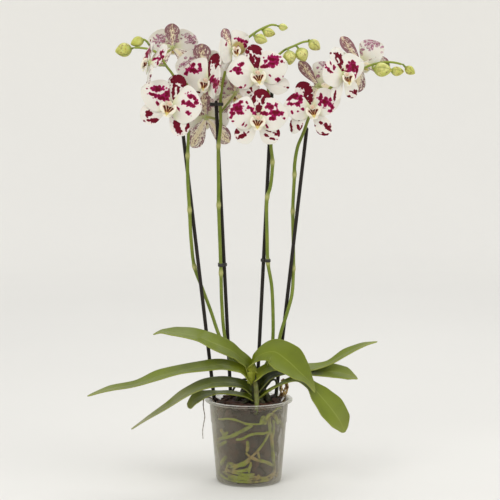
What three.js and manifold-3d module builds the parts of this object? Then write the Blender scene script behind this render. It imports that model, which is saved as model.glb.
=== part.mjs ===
// A potted moth orchid: four staked flower spikes over one fan of leaves, in a clear grower's pot.
// Millimetres, +Z up. The origin is the centre of the pot's base, and the plant is seen from -Y.
import * as THREE from "three";
import { mergeVertices } from "three/addons/utils/BufferGeometryUtils.js";
import Module from "manifold-3d";

const wasm = await Module();
wasm.setup();

// ---- Driving dimensions ----

const GAP = 0.3; // clearance between two pieces that touch
const RAD = Math.PI / 180;

const POT = {
  height: 113.4,
  rimRadius: 59.5,
  wall: 1.1,
  floor: 1.8,
  sides: 24,
  // outer wall: radius, height
  outer: [[43, 0], [44.6, 4], [51, 81], [51.7, 82], [53.5, 107.5]],
  drain: { count: 4, radius: 3.5, ring: 27 },
};

const BARK = { top: 97, wallGap: 6.6, rough: 1.8, sides: 14 };

const CROWN = {
  // height, radius, up the stub that the leaves grow from
  path: [[84, 6], [100, 7.5], [114, 8.5], [130, 9], [144, 8], [151, 5]],
  x: 8,
  y: 0,
};

const STAKE_RADIUS = 2.5;
const STAKES = {
  a: { foot: [-37.3, 13, 20], top: [-88.5, 6, 473] },
  b: { foot: [-20.7, 25, 20], top: [-44.3, 20, 517] },
  c: { foot: [6.6, 28.8, 20], top: [31.3, 18, 531] },
  d: { foot: [27, 23.4, 20], top: [78.6, 18, 481] },
};

// Each leaf's midrib from the crown to the tip: x, y, z, half width, tilt of the blade in degrees.
// A leaf whose half width stays under the narrow one is split into fewer strips.
const LEAF_THICK = 2;
const NARROW_LEAF = 10;
const LEAVES = {
  left_1: [
    [6, 2, 138, 5, 0], [-2, 1, 155, 7, 22], [-12, -4, 168, 12, 34], [-24, -10, 179, 18, 34],
    [-46, -15, 190, 22, 24], [-70, -17, 200, 23, 14], [-99, -17, 205, 19, 8],
    [-117, -15, 206, 12, 5], [-129, -14, 203, 2, 5],
  ],
  left_2: [
    [5, -2, 130, 5, 0], [-6, -7, 145, 6.5, 20], [-16, -11, 156, 11, 26], [-37, -15, 161, 15, 17],
    [-62, -20, 159, 16, 14], [-91, -24, 155, 17, 12], [-121, -26, 147, 17, 14],
    [-153, -26, 136, 11, 7], [-187, -24, 130, 11, 10], [-218, -22, 120, 3, 10],
  ],
  left_3: [
    [5, -4, 120, 6, 0], [-6, -9, 132, 7, 14], [-18, -14, 137, 11, 18], [-37, -20, 139, 15, 14],
    [-59, -27, 137, 17, 12], [-84, -34, 127, 15, 13], [-109, -40, 110, 11, 8],
    [-132, -44, 96, 9.5, 6], [-157, -46, 80, 2, 5],
  ],
  left_4: [
    [4, -4, 112, 5, 0], [-7, -10, 119, 7, 8], [-20, -13, 122, 9, 10], [-38, -15, 124, 9.5, 10],
    [-56, -16, 121, 9.5, 16], [-71, -16, 116, 9.5, 40], [-82, -15, 103, 5, 60],
  ],
  right_1: [
    [5.2, -6, 144, 4, 0], [5.7, -10.5, 155, 6, 8], [6, -13, 166, 6, 20], [14, -15, 175, 9, 36],
    [33, -19, 180, 22, 42], [51, -28, 170, 26, 34], [68, -37, 155, 19, 24],
    [80, -43, 144, 9, 15], [88, -47, 130, 2, 10],
  ],
  right_2: [
    [11, 0, 130, 5, 0], [18, -1, 147, 6.5, 20], [29, -3, 159, 10, 22], [56, -1, 160, 14, 12],
    [82, 6, 153, 16, 9], [109, 10, 159, 8, 9], [133, 12, 173, 13, 9],
    [155, 13, 183, 10, 9], [176, 13, 189, 2, 5],
  ],
  right_3: [
    [9, -2, 118, 5, 0], [20, -3, 132, 6, 14], [34, -1, 146, 9, 12], [59, 4, 151, 12, 10],
    [86, 6, 147, 14, 14], [114, 7, 148, 17, 24], [134, 9, 144, 16, 24], [149, 10, 138, 4, 15],
  ],
  right_4: [
    [11, -4, 108, 5, 0], [23, -9, 121, 7, 4], [38, -13, 135, 9, 4], [53, -18, 145, 10, 6],
    [69, -26, 147, 9, 16], [83, -33, 138, 9, 30], [95, -38, 124, 16, 38],
    [109, -42, 108, 21, 40], [121, -45, 91, 19, 38], [128, -46, 76, 7, 35],
  ],
};

// Each spike's axis from the crown to its last bud, the heights of its nodes and its buds.
const SPIKE = {
  radius: 2.35, tipRadius: 1.1, segments: 17, nodeSwell: 0.9, nodeReach: 0.01, pedicelRadius: 1.3,
};
const SPIKES = {
  a: {
    axis: [
      [6, 7, 138], [-8, 11, 146], [-20, 12, 158], [-29, 12, 173], [-41, 16, 198], [-52, 20, 230],
      [-65, 21, 265], [-74, 16, 291], [-78, 4, 329], [-80, 2, 370], [-82, 0, 408], [-82, -2, 442],
      [-81, -4, 475], [-84, -4, 502], [-92, -5, 531], [-101, -6, 551], [-110, -6, 563],
      [-119, -4, 577], [-129, -2, 584], [-146, 0, 587], [-153, 0, 587],
    ],
    nodes: [291, 370, 442],
    buds: [
      { at: [-167, 0, 584], size: [9.5, 11.5], lean: -100, from: 20 },
      { at: [-149, 4, 595], size: [7, 9.5], lean: -110, from: 18 },
    ],
  },
  b: {
    axis: [
      [9, 9, 143], [-4, 16, 152], [-16, 18, 160], [-26, 18, 171], [-33, 17, 196], [-37, 16, 243],
      [-38, 15.5, 282], [-39, 15, 316], [-41, 15, 375], [-41, 14, 407], [-41, 13, 455],
      [-38, 13, 484], [-38, 14, 518], [-35, 14, 542], [-27, 15, 571], [-21, 18, 583],
      [-12, 18, 593], [-1, 16, 601], [12, 14, 610], [22, 13, 615], [31, 12, 618], [38, 12, 617],
    ],
    nodes: [282, 375, 455],
    buds: [
      { at: [16, 8, 599], size: [7, 9.5], lean: 110, from: 18 },
      { at: [27, 15, 608], size: [6.5, 9], lean: 105, from: 19 },
      { at: [46, 12, 615], size: [5, 6.5], lean: 100, from: 21 },
    ],
  },
  c: {
    axis: [
      [12, 9, 141], [24, 18, 157], [31, 19, 174], [33, 19, 193], [33, 18, 231], [31, 17, 267],
      [26, 16, 297], [25, 16, 328], [25, 15, 387], [29, 14, 400], [32, 12, 434], [30, 11, 455],
      [29, 9, 484], [27, 8, 518], [26, 8, 544], [32, 9, 568], [46, 10, 583], [61, 9, 590],
      [73, 8, 595], [81, 8, 596],
    ],
    nodes: [297, 387, 434],
    buds: [
      { at: [54, 2, 574], size: [9, 10], lean: 175, from: 16 },
      { at: [71, 6, 578], size: [9, 10], lean: 150, from: 17 },
      { at: [88, 7, 591], size: [7.5, 9.5], lean: 130, from: 19 },
    ],
  },
  d: {
    axis: [
      [14, 6, 132], [28, 15, 152], [38, 15, 175], [44, 14, 202], [53, 14, 231], [59, 18, 254],
      [61, 25, 288], [61, 27, 315], [60, 27, 366], [61, 24, 395], [62, 20, 416], [62, 16, 430],
      [66, 12, 455], [74, 9, 475], [82, 7, 497], [95, 5, 518], [114, 3, 538], [134, 2, 551],
      [151, 1, 559], [166, 0, 565], [184, -2, 568], [196, -3, 567], [204, -3, 565],
    ],
    nodes: [288, 366, 416],
    buds: [
      { at: [178, -9, 558], size: [9.5, 12.5], lean: 95, from: 19 },
      { at: [198, -3, 556], size: [6.5, 9], lean: 95, from: 20 },
      { at: [215, -3, 557], size: [6, 8], lean: 125, from: 22 },
    ],
  },
};

// Each bloom: the spike it hangs from, where its pedicel leaves the axis, the middle of its face,
// and how it is turned: yaw right from -Y, pitch upwards, roll clockwise, all in degrees.
const BLOOMS = {
  a1: { from: [-81, -4, 478], at: [-103, -42, 510], yaw: -6, pitch: 4, roll: 16, size: 1.07 },
  a2: { from: [-110, -6, 563], at: [-129, -43, 566], yaw: -82, pitch: 14, roll: 0, size: 0.92 },
  a3: { from: [-119, -4, 577], at: [-103, 30, 589], yaw: 180, pitch: 20, roll: 0, size: 0.86 },
  a4: {
    from: [-86, -4, 512], via: [-66, 18, 520], at: [-53, -26, 541],
    yaw: -36, pitch: 4, roll: 14, size: 0.98,
  },
  a5: { from: [-92, -5, 531], at: [-63, 24, 557], yaw: 180, pitch: 6, roll: 0, size: 0.92 },
  b1: {
    from: [-38, 13, 484], via: [-31, 31, 488], at: [-59, 42, 494],
    yaw: 207, pitch: -8, roll: 8, size: 1.08,
  },
  b2: { from: [-38, 14, 524], at: [-19, 31, 527], yaw: 186, pitch: 0, roll: 0, size: 0.88 },
  b3: { from: [-27, 15, 571], at: [-22, -12, 584], yaw: 45, pitch: 0, roll: -26, size: 0.75 },
  c1: { from: [30, 10, 470], at: [12, -30, 493], yaw: 0, pitch: 2, roll: 3, size: 1 },
  c2: { from: [27, 8, 520], at: [12, -14, 551], yaw: 0, pitch: 4, roll: -10, size: 1.03 },
  d1: { from: [78, 8, 487], at: [84, -14, 506], yaw: 4, pitch: 4, roll: -10, size: 0.98 },
  d2: { from: [130, 2, 549], at: [125, -26, 551], yaw: 30, pitch: 4, roll: -16, size: 0.94 },
  d3: { from: [148, 1, 558], at: [151, 14, 567], yaw: 165, pitch: 6, roll: 36, size: 1 },
  d4: { from: [104, 4, 528], at: [94, 30, 537], yaw: 188, pitch: 2, roll: 39, size: 1 },
};

// One bloom's own form, face towards +Z and dorsal sepal up +Y.
const HUB = { across: 4.8, deep: 3.2 };
const TEPAL_THICK = 0.8;
const SEPAL = {
  length: 37.5, half: 11.5, claw: 1.8, bulge: [1.9, 0.6], back: -1.2, bend: -3, cup: -0.12,
  skew: 0, root: 2.4, waist: 0, rows: [0, 0.36, 0.82, 1],
};
const PETAL = {
  length: 38, half: 22.5, claw: 1.8, bulge: [0.85, 0.62], back: 1, bend: 7, cup: -0.1, skew: 3,
  root: 2.4, waist: 0.38, rows: [0, 0.2, 0.5, 0.84, 1],
};
// The way each tepal points, in degrees from +X. The left petal is the right one mirrored.
const TEPALS = {
  dorsal: [SEPAL, 90], low_left: [SEPAL, 221], low_right: [SEPAL, 318],
  right: [PETAL, 12], left: [PETAL, 12],
};
// Tepals that stand otherwise in one bloom: degrees turned about the face, degrees swung back,
// and factors on width and length.
const STANCES = {
  a1: { left: [5, 0, 0.85, 1], low_left: [-4, 0, 1.1, 1], low_right: [-7, 0, 1, 1] },
  a2: { dorsal: [0, -20, 1, 0.8], right: [26, 35, 0.8, 1] },
  a4: { dorsal: [0, 0, 0.85, 1], right: [0, -27, 0.78, 1] },
  a5: { dorsal: [0, 0, 1.1, 1] },
  b1: { low_left: [15, 0, 1.1, 1.12], low_right: [-7, 0, 1.15, 1.2] },
  c1: {
    left: [0, 0, 0.93, 1], right: [0, 0, 0.93, 1],
    low_left: [11, 0, 1.1, 1], low_right: [-7, 0, 1.1, 0.98],
  },
  c2: {
    left: [0, 0, 0.93, 1], right: [0, 0, 0.93, 1],
    low_left: [8, 0, 1, 0.85], low_right: [9, 0, 1, 1.1],
  },
  d1: {
    dorsal: [13, 0, 1, 1], left: [0, 0, 0.8, 1], right: [0, 0, 0.8, 1],
    low_left: [9, 0, 1, 1.08], low_right: [-26, 0, 1, 1.08],
  },
  d2: {
    left: [0, 0, 0.82, 1], right: [0, 15, 0.85, 1],
    low_left: [10, 0, 0.7, 1], low_right: [-28, 0, 1, 0.95],
  },
  d3: { dorsal: [0, 0, 0.7, 1.05], left: [-8, 15, 0.8, 0.95] },
  d4: {
    dorsal: [0, 0, 0.65, 1.08], left: [0, 0, 0.9, 0.9], right: [-30, 10, 0.8, 1],
    low_left: [0, 0, 1, 0.8],
  },
};
const AS_THE_REST = [0, 0, 1, 1];

// ---- Solids and meshes ----

const point = ([x, y, z]) => new THREE.Vector3(x, y, z);
const curveThrough = (points) =>
  new THREE.CatmullRomCurve3(points.map(point), false, "centripetal");

// A closed three.js geometry as a solid that can be joined and cut.
function solidOf(geometry) {
  geometry.deleteAttribute("normal");
  geometry.deleteAttribute("uv");
  const merged = mergeVertices(geometry, 1e-4);
  const triVerts = new Uint32Array(merged.index.array);
  const vertProperties = merged.attributes.position.array;
  return new wasm.Manifold(new wasm.Mesh({ numProp: 3, vertProperties, triVerts }));
}

const fuse = (solids) => solids.reduce((whole, next) => whole.add(next));
const cut = (solid, tools) => tools.reduce((rest, tool) => rest.subtract(tool), solid);

function meshOf(name, solid, material) {
  const { vertProperties, triVerts } = solid.getMesh();
  const geometry = new THREE.BufferGeometry();
  geometry.setAttribute("position", new THREE.BufferAttribute(vertProperties, 3));
  geometry.setIndex(new THREE.BufferAttribute(triVerts, 1));
  geometry.computeVertexNormals();
  const mesh = new THREE.Mesh(geometry, material);
  mesh.name = name;
  return mesh;
}

const matt = (color, roughness = 0.7) =>
  new THREE.MeshStandardMaterial({ color, roughness, metalness: 0 });

// A cylinder bent along a curve, with rings at the given shares of the way along, 0 to 1, and a
// radius that is a function of that share.
function rod(path, radius, sides, shares) {
  const segments = shares.length - 1;
  const geometry = new THREE.CylinderGeometry(1, 1, 1, sides, segments);
  const steps = 400;
  const frames = path.computeFrenetFrames(steps);
  const place = geometry.attributes.position;
  for (let i = 0; i < place.count; i++) {
    const share = shares[Math.round((place.getY(i) + 0.5) * segments)];
    const frame = Math.round(share * steps);
    const r = radius(share);
    const spot = path.getPointAt(share);
    spot.addScaledVector(frames.normals[frame], r * place.getX(i));
    spot.addScaledVector(frames.binormals[frame], -r * place.getZ(i));
    place.setXYZ(i, spot.x, spot.y, spot.z);
  }
  return solidOf(geometry);
}

const even = (segments) => Array.from({ length: segments + 1 }, (_, k) => k / segments);

const straightRod = (from, to, radius, sides) =>
  rod(new THREE.LineCurve3(point(from), point(to)), () => radius, sides, [0, 1]);

// An ellipsoid with its poles along Z.
function ellipsoid(radii, sides, rings, matrix) {
  const geometry = new THREE.SphereGeometry(1, sides, rings).rotateX(Math.PI / 2).scale(...radii);
  return solidOf(matrix ? geometry.applyMatrix4(matrix) : geometry);
}

// A blade: a sheet of points given by surface(u, v), u from base to tip and v from -1 to 1
// across, thickened evenly and split into triangles alike on both faces.
function blade(surface, rows, columns, thick) {
  const across = columns + 1;
  const middle = [];
  for (const u of rows)
    for (let j = 0; j < across; j++) middle.push(surface(u, -1 + (2 * j) / columns));
  const at = (i, j) => i * across + j;
  const normals = middle.map((_, k) => {
    const i = Math.floor(k / across);
    const j = k % across;
    const along = middle[at(Math.min(i + 1, rows.length - 1), j)]
      .clone()
      .sub(middle[at(Math.max(i - 1, 0), j)]);
    const aside = middle[at(i, Math.min(j + 1, columns))]
      .clone()
      .sub(middle[at(i, Math.max(j - 1, 0))]);
    return along.cross(aside).normalize();
  });
  const count = middle.length;
  const positions = new Float32Array(count * 6);
  middle.forEach((p, k) => {
    p.clone().addScaledVector(normals[k], thick / 2).toArray(positions, k * 3);
    p.clone().addScaledVector(normals[k], -thick / 2).toArray(positions, (count + k) * 3);
  });
  const index = [];
  const quad = (a, b, c, d) => index.push(a, b, c, a, c, d);
  for (let i = 0; i + 1 < rows.length; i++)
    for (let j = 0; j < columns; j++) {
      const [a, b, c, d] = [at(i, j), at(i + 1, j), at(i + 1, j + 1), at(i, j + 1)];
      quad(a, b, c, d);
      index.push(count + a, count + c, count + b, count + a, count + d, count + c);
    }
  const rim = [];
  for (let j = 0; j < columns; j++) rim.push(at(0, j));
  for (let i = 0; i + 1 < rows.length; i++) rim.push(at(i, columns));
  for (let j = columns; j > 0; j--) rim.push(at(rows.length - 1, j));
  for (let i = rows.length - 1; i > 0; i--) rim.push(at(i, 0));
  rim.forEach((a, k) => {
    const b = rim[(k + 1) % rim.length];
    quad(a, b, count + b, count + a);
  });
  const geometry = new THREE.BufferGeometry();
  geometry.setAttribute("position", new THREE.BufferAttribute(positions, 3));
  geometry.setIndex(index);
  return solidOf(geometry);
}

// ---- Pot and bark ----

const innerWall = () => POT.outer.map(([r, z]) => [r - POT.wall, z]);

// The inner wall's radius at a height.
function innerRadius(z) {
  const wall = innerWall();
  const above = wall.findIndex(([, height]) => height >= z);
  if (above < 0) return wall[wall.length - 1][0];
  if (above === 0) return wall[0][0];
  const [[r0, z0], [r1, z1]] = [wall[above - 1], wall[above]];
  return r0 + ((r1 - r0) * (z - z0)) / (z1 - z0);
}

function pot() {
  const { height, rimRadius, wall, floor, sides, drain } = POT;
  const underRim = [[54.6, height - 3.3], [rimRadius, height - 3.1], [rimRadius, height]];
  const mouth = [[54.4, height], [52.8, height - 2]];
  const inside = innerWall().slice(1).reverse();
  const profile = [[0, 0], ...POT.outer, ...underRim, ...mouth, ...inside,
    [42.6, floor], [0, floor]];
  const lathe = new THREE.LatheGeometry(profile.map(([r, z]) => new THREE.Vector2(r, z)), sides);
  const holes = Array.from({ length: drain.count }, (_, k) => {
    const angle = (k * 2 * Math.PI) / drain.count;
    const [x, y] = [drain.ring * Math.cos(angle), drain.ring * Math.sin(angle)];
    return straightRod([x, y, -wall], [x, y, floor + wall], drain.radius, 8);
  });
  return cut(solidOf(lathe.rotateX(Math.PI / 2)), holes);
}

// A repeatable number from -1 to 1 for a place on a surface.
const wobble = (a, b) => Math.sin(a * 12.9898 + b * 78.233) * Math.cos(a * 4.1 - b * 7.7);

function bark(holes) {
  const radiusAt = (z) => innerRadius(z) - BARK.wallGap;
  const base = POT.floor + GAP;
  const top = BARK.top;
  const profile = [[0, base], [radiusAt(base) - 1, base], [radiusAt(6), 6], [radiusAt(81), 81],
    [radiusAt(top - 4), top - 4], [34, top], [19, top + 1], [0, top + 1]];
  const lathe = new THREE.LatheGeometry(
    profile.map(([r, z]) => new THREE.Vector2(r, z)), BARK.sides);
  lathe.deleteAttribute("normal");
  lathe.deleteAttribute("uv");
  const chips = mergeVertices(lathe.rotateX(Math.PI / 2), 1e-3);
  const place = chips.attributes.position;
  for (let i = 0; i < place.count; i++) {
    const [x, y, z] = [place.getX(i), place.getY(i), place.getZ(i)];
    if (z > top - 5) place.setZ(i, z + BARK.rough * wobble(x / 9, y / 9));
  }
  return cut(solidOf(chips), holes);
}

// ---- Crown and roots ----

const ROOT_RADIUS = 1.9;
const ROOT_STEP = 27;

// Roots pressed against the pot's wall: degrees right of the front, and height.
const WALL_ROOTS = [
  [[13, 101], [15, 94], [18, 88], [3, 88], [-12, 90], [-31, 94], [-53, 88]],
  [[13, 99], [21, 94], [42, 92], [39, 83], [46, 71], [52, 53], [54, 31], [65, 20], [64, 7]],
  [[9, 91], [9, 81], [-5, 79], [-18, 71], [-37, 64], [-48, 58], [-69, 51]],
  [[50, 69], [32, 74], [18, 73], [3, 71], [-6, 66], [-18, 64]],
  [[49, 74], [31, 56], [17, 46], [7, 39], [-5, 32], [-26, 26], [-43, 17], [-75, 9]],
  [[2, 39], [24, 35], [50, 27], [67, 18]],
  [[0, 84], [0, 53], [-2, 47]],
  [[-41, 38], [-51, 33], [-66, 23], [-84, 7]],
  [[-84, 9], [-48, 9], [-18, 12], [3, 9], [21, 13], [64, 9], [110, 12], [150, 9], [190, 14]],
  [[-27, 24], [-14, 27], [6, 40]],
  [[-53, 77], [-49, 67], [-46, 55]],
  [[62, 104], [45, 98], [38, 90]],
  [[43, 96], [56, 89], [73, 79], [104, 70], [140, 76], [176, 62], [214, 52]],
  [[14, 48], [20, 40], [25, 32]],
  [[139, 80], [150, 55], [139, 36], [152, 22], [150, 6]],
];

function wallPoint([angle, z]) {
  const r = innerRadius(z) - ROOT_RADIUS - 0.7;
  return [r * Math.sin(angle * RAD), -r * Math.cos(angle * RAD), z];
}

const AERIAL_ROOT = {
  path: [[8, -2, 137], [9.5, -13, 135], [10.5, -28, 130], [11, -40, 122], [11, -46, 113],
    wallPoint([13, 104]), wallPoint([14, 97])],
  radius: (share) => (share < 0.7 ? 3.5 : 3.5 - (share - 0.7) * 5.3),
};

function crown(grow = 0) {
  const { path, x, y } = CROWN;
  const [low, high] = [path[0][0], path[path.length - 1][0]];
  const line = new THREE.LineCurve3(
    point([x, y, low - grow]), point([x, y, high + grow]));
  const radius = (share) => {
    const z = low + (high - low) * share;
    const k = Math.max(1, path.findIndex(([height]) => height >= z - 1e-6));
    const [[z0, r0], [z1, r1]] = [path[k - 1], path[k]];
    return grow + r0 + ((r1 - r0) * (z - z0)) / (z1 - z0);
  };
  return rod(line, radius, 8, even(5));
}

function aerialRoot(grow = 0) {
  return rod(curveThrough(AERIAL_ROOT.path), (s) => AERIAL_ROOT.radius(s) + grow, 6, even(8));
}

function crownAndRoots() {
  const wallRoots = WALL_ROOTS.map((points) => {
    const path = new THREE.CatmullRomCurve3(points.map((p) => point(wallPoint(p))));
    return rod(path, () => ROOT_RADIUS, 4, even(Math.ceil(path.getLength() / ROOT_STEP)));
  });
  return fuse([crown(), aerialRoot(), ...wallRoots]);
}

// A root that has dried up over the rim, and a curled dry sheath beside it at the other edge.
const hangingRoot = () =>
  rod(
    curveThrough([[-42, -9, 100], [-46, -7, 108], [-51.5, -6, 114.4], [-57, -5, 115.1],
      [-60.7, -5, 113.7], [-62, -5, 106], [-61.5, -5, 99], [-60, -5, 89], [-61.5, -5, 79],
      [-63, -5, 69], [-62.5, -5, 58]]),
    () => 0.8, 4, even(12));

const drySheath = () =>
  rod(
    curveThrough([[36, 29.5, 99], [38.5, 29, 108], [43.5, 27, 115], [50.5, 25, 117], [55, 23, 123],
      [52, 21, 132], [46, 21, 131]]),
    (share) => 2.9 - 1.4 * share + 0.4 * Math.sin(share * 19), 6, even(7));

// ---- Leaves ----

// A leaf's surface from its stations, with a channel along the midrib that closes to the base.
function leafSurface(stations) {
  const midrib = curveThrough(stations.map(([x, y, z]) => [x, y, z]));
  return (u, v) => {
    const spot = midrib.getPoint(u);
    const tangent = midrib.getTangent(u);
    const { half, tilt } = stationValue(stations, u);
    const level = new THREE.Vector3(-tangent.y, tangent.x, 0).normalize();
    if (level.y < 0) level.negate();
    const rise = new THREE.Vector3().crossVectors(level, tangent).normalize();
    if (rise.z < 0) rise.negate();
    const side = level.clone().multiplyScalar(Math.cos(tilt * RAD))
      .addScaledVector(rise, Math.sin(tilt * RAD));
    const face = rise.clone().multiplyScalar(Math.cos(tilt * RAD))
      .addScaledVector(level, -Math.sin(tilt * RAD));
    const channel = (0.16 + 0.5 * Math.max(0, 1 - u * 4)) * half;
    return spot.addScaledVector(side, v * half)
      .addScaledVector(face, channel * Math.abs(v) ** 1.5);
  };
}

// Half width and tilt at a share of the way along the stations.
function stationValue(stations, u) {
  const last = stations.length - 1;
  const k = Math.min(Math.floor(u * last), last - 1);
  const t = u * last - k;
  const [, , , half0, tilt0] = stations[k];
  const [, , , half1, tilt1] = stations[k + 1];
  return { half: half0 + (half1 - half0) * t, tilt: tilt0 + (tilt1 - tilt0) * t };
}

function leaf(stations) {
  const widest = Math.max(...stations.map(([, , , half]) => half));
  return blade(
    leafSurface(stations), even(stations.length - 1), widest < NARROW_LEAF ? 2 : 4, LEAF_THICK);
}

// ---- Blooms ----

const bulge = ({ half, claw, bulge: [shift, power] }, u) =>
  claw * (1 - u) + 0.9 + (half - 0.9) * Math.max(0, Math.sin(Math.PI * u ** shift)) ** power;

const smooth = (x) => THREE.MathUtils.smoothstep(x, 0, 1);

// A tepal's surface in the bloom's own frame, pointing at an angle from +X.
function tepalSurface([form, angle], [spin, swing, width, reach]) {
  const way = (angle + spin) * RAD;
  const along = new THREE.Vector3(Math.cos(way), Math.sin(way), 0);
  const aside = new THREE.Vector3(-along.y, along.x, 0);
  const [turn, rise] = [Math.cos(swing * RAD), Math.sin(swing * RAD)];
  return (u, v) => {
    const waist = 1 - form.waist * (1 - smooth(2 * u)) * smooth(2 * v);
    const q = v * bulge(form, u) * width * waist;
    const lift = form.back + form.bend * u * u + (form.cup * q * q) / form.half;
    const far = form.root + form.length * reach * u;
    return new THREE.Vector3(0, 0, lift * turn - far * rise)
      .addScaledVector(along, far * turn + lift * rise)
      .addScaledVector(aside, q + form.skew * Math.sin(Math.PI * u));
  };
}

const mirrored = (surface) => (u, v) => {
  const p = surface(u, -v);
  return p.set(-p.x, p.y, p.z);
};

const hub = (grow, matrix) =>
  ellipsoid([HUB.across + grow, HUB.across + grow, HUB.deep + grow], 6, 3, matrix);

function tepals(stances = {}) {
  const blades = Object.entries(TEPALS).map(([part, tepal]) => {
    const surface = tepalSurface(tepal, stances[part] ?? AS_THE_REST);
    return blade(part === "left" ? mirrored(surface) : surface, tepal[0].rows, 2, TEPAL_THICK);
  });
  return fuse([hub(0), ...blades]);
}

// The column over the lip, whose two side lobes make a cup and whose middle lobe hangs from it.
function lip() {
  const front = HUB.deep + GAP;
  const column = rod(
    curveThrough([[0, 0.3, front], [0, 1.2, 5.5], [0, 2.2, 8], [0, 1.2, 10.5]]),
    (share) => 2.8 + 1.2 * Math.sin(share * 3.1), 4, even(2));
  const sideLobe = (u, v) => {
    const angle = (-18 - 48 * v) * RAD;
    const reach = 1.5 + (7 - 1.6 * v * v) * u;
    return new THREE.Vector3(
      reach * Math.cos(angle), -1.5 + reach * Math.sin(angle),
      4.4 + 8.6 * u ** 1.4 - 2 * v * v * u);
  };
  const middleLobe = (u, v) => {
    const half = 2 + 3.4 * Math.sin(Math.PI * Math.min(1, u * 0.94)) ** 1.1;
    return new THREE.Vector3(
      v * half, -2.5 - 9 * u, 4.6 + 5.5 * u - 2.6 * u * u - 0.25 * v * v * half);
  };
  return fuse([
    column,
    blade(sideLobe, [0, 1], 2, TEPAL_THICK),
    blade(mirrored(sideLobe), [0, 1], 2, TEPAL_THICK),
    blade(middleLobe, [0, 0.62, 1], 2, TEPAL_THICK),
  ]);
}

// A bloom's place as a matrix: rolled about its face, pitched up, then turned about +Z.
function bloomMatrix({ at, yaw, pitch, roll, size }) {
  return new THREE.Matrix4()
    .makeTranslation(...at)
    .multiply(new THREE.Matrix4().makeRotationZ(yaw * RAD))
    .multiply(new THREE.Matrix4().makeRotationX((90 - pitch) * RAD))
    .multiply(new THREE.Matrix4().makeRotationZ(-roll * RAD))
    .multiply(new THREE.Matrix4().makeScale(size, size, size));
}

// ---- Spikes ----

// Where along a path its height first passes z, as a share.
function shareAtHeight(path, z) {
  const shares = even(300);
  return shares.find((share) => path.getPointAt(share).z > z);
}

// The shares of a spike's length where its axis has rings: evenly, and close round each node.
function axisRings({ nodes }, path) {
  const { segments, nodeReach } = SPIKE;
  const nodeShares = nodes.map((z) => shareAtHeight(path, z));
  const rings = [
    ...even(segments).filter((s) => nodeShares.every((n) => Math.abs(s - n) > 1.5 * nodeReach)),
    ...nodeShares.flatMap((node) => [node - nodeReach, node, node + nodeReach]),
  ].sort((a, b) => a - b);
  return { rings, nodeShares };
}

// The axis of one spike, thickened where a sheath wraps each node.
function spikeAxis(plan, grow = 0) {
  const path = curveThrough(plan.axis);
  const { rings, nodeShares } = axisRings(plan, path);
  const radius = (share) => {
    const thin = Math.max(0, share - 0.6) / 0.4;
    const swell = nodeShares.includes(share) ? SPIKE.nodeSwell : 0;
    return SPIKE.radius + (SPIKE.tipRadius - SPIKE.radius) * thin + swell + grow;
  };
  return rod(path, radius, 5, rings);
}

// The point of a spike's faceted axis that is nearest to a place.
function onAxis(plan, place) {
  const path = curveThrough(plan.axis);
  const centres = axisRings(plan, path).rings.map((share) => path.getPointAt(share));
  const target = point(place);
  return centres.slice(1)
    .map((end, k) => new THREE.Line3(centres[k], end)
      .closestPointToPoint(target, true, new THREE.Vector3()))
    .reduce((best, spot) => (spot.distanceTo(target) < best.distanceTo(target) ? spot : best));
}

// A pedicel from the axis to the back of a bloom, which it meets square on.
function pedicel(plan, { from, via, ...bloom }) {
  const matrix = bloomMatrix(bloom);
  const end = new THREE.Vector3(0, 0, 0).applyMatrix4(matrix);
  const behind = new THREE.Vector3(0, 0, -15).applyMatrix4(matrix);
  const start = onAxis(plan, from);
  const lift = via ? point(via) : start.clone().lerp(behind, 0.5);
  const path = new THREE.CubicBezierCurve3(start, lift, behind, end);
  return rod(path, (s) => SPIKE.pedicelRadius + 0.5 * s, 4, even(3));
}

// A bud, pointed, leaning in the plane of the plant, on a short pedicel from its spike's axis.
function bud(plan, { at, size: [radius, half], lean, from }) {
  const centre = point(at);
  const tip = new THREE.Vector3(Math.sin(lean * RAD), 0, Math.cos(lean * RAD));
  const foot = centre.clone().addScaledVector(tip, -half);
  const head = centre.clone().addScaledVector(tip, half);
  const round = (s) => 0.6 + (radius - 0.6) * Math.sin(Math.PI * s ** 0.85) ** 0.75;
  const body = rod(new THREE.LineCurve3(foot, head), round, 6, [0, 0.2, 0.68, 1]);
  const root = onAxis(plan, plan.axis[from]);
  const path = new THREE.QuadraticBezierCurve3(
    root, root.clone().lerp(foot, 0.5).add(new THREE.Vector3(0, 0, 2)),
    foot.clone().addScaledVector(tip, 2));
  return fuse([body, rod(path, () => SPIKE.tipRadius, 4, even(2))]);
}

function spike(name) {
  const plan = SPIKES[name];
  const own = Object.entries(BLOOMS).filter(([key]) => key.startsWith(name));
  const green = fuse([
    spikeAxis(plan),
    ...plan.buds.map((each) => bud(plan, each)),
    ...own.map(([, bloom]) => pedicel(plan, bloom)),
  ]);
  return cut(green, own.map(([, bloom]) => hub(GAP, bloomMatrix(bloom))));
}

// ---- Stakes and clips ----

const stake = ({ foot, top }, grow = 0) => straightRod(foot, top, STAKE_RADIUS + grow, 8);

// Where a stake's centre line is at a height.
function stakePoint({ foot, top }, z) {
  const share = (z - foot[2]) / (top[2] - foot[2]);
  return foot.map((value, k) => value + (top[k] - value) * share);
}

const CLIPS = [
  { name: "clip_low_b", spike: "b", z: 294, stem: [-38.3, 15.4], tab: [-1, 0] },
  { name: "clip_low_c", spike: "c", z: 300, stem: [25.9, 16], tab: [1, 0.1] },
  { name: "clip_top_b", spike: "b", z: 512, stem: [-38.1, 13.9], tab: [-1, -0.3] },
];
const CLIP = { height: 4.4, ring: 1.3, tab: [5, 2.4, 5] };

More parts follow.
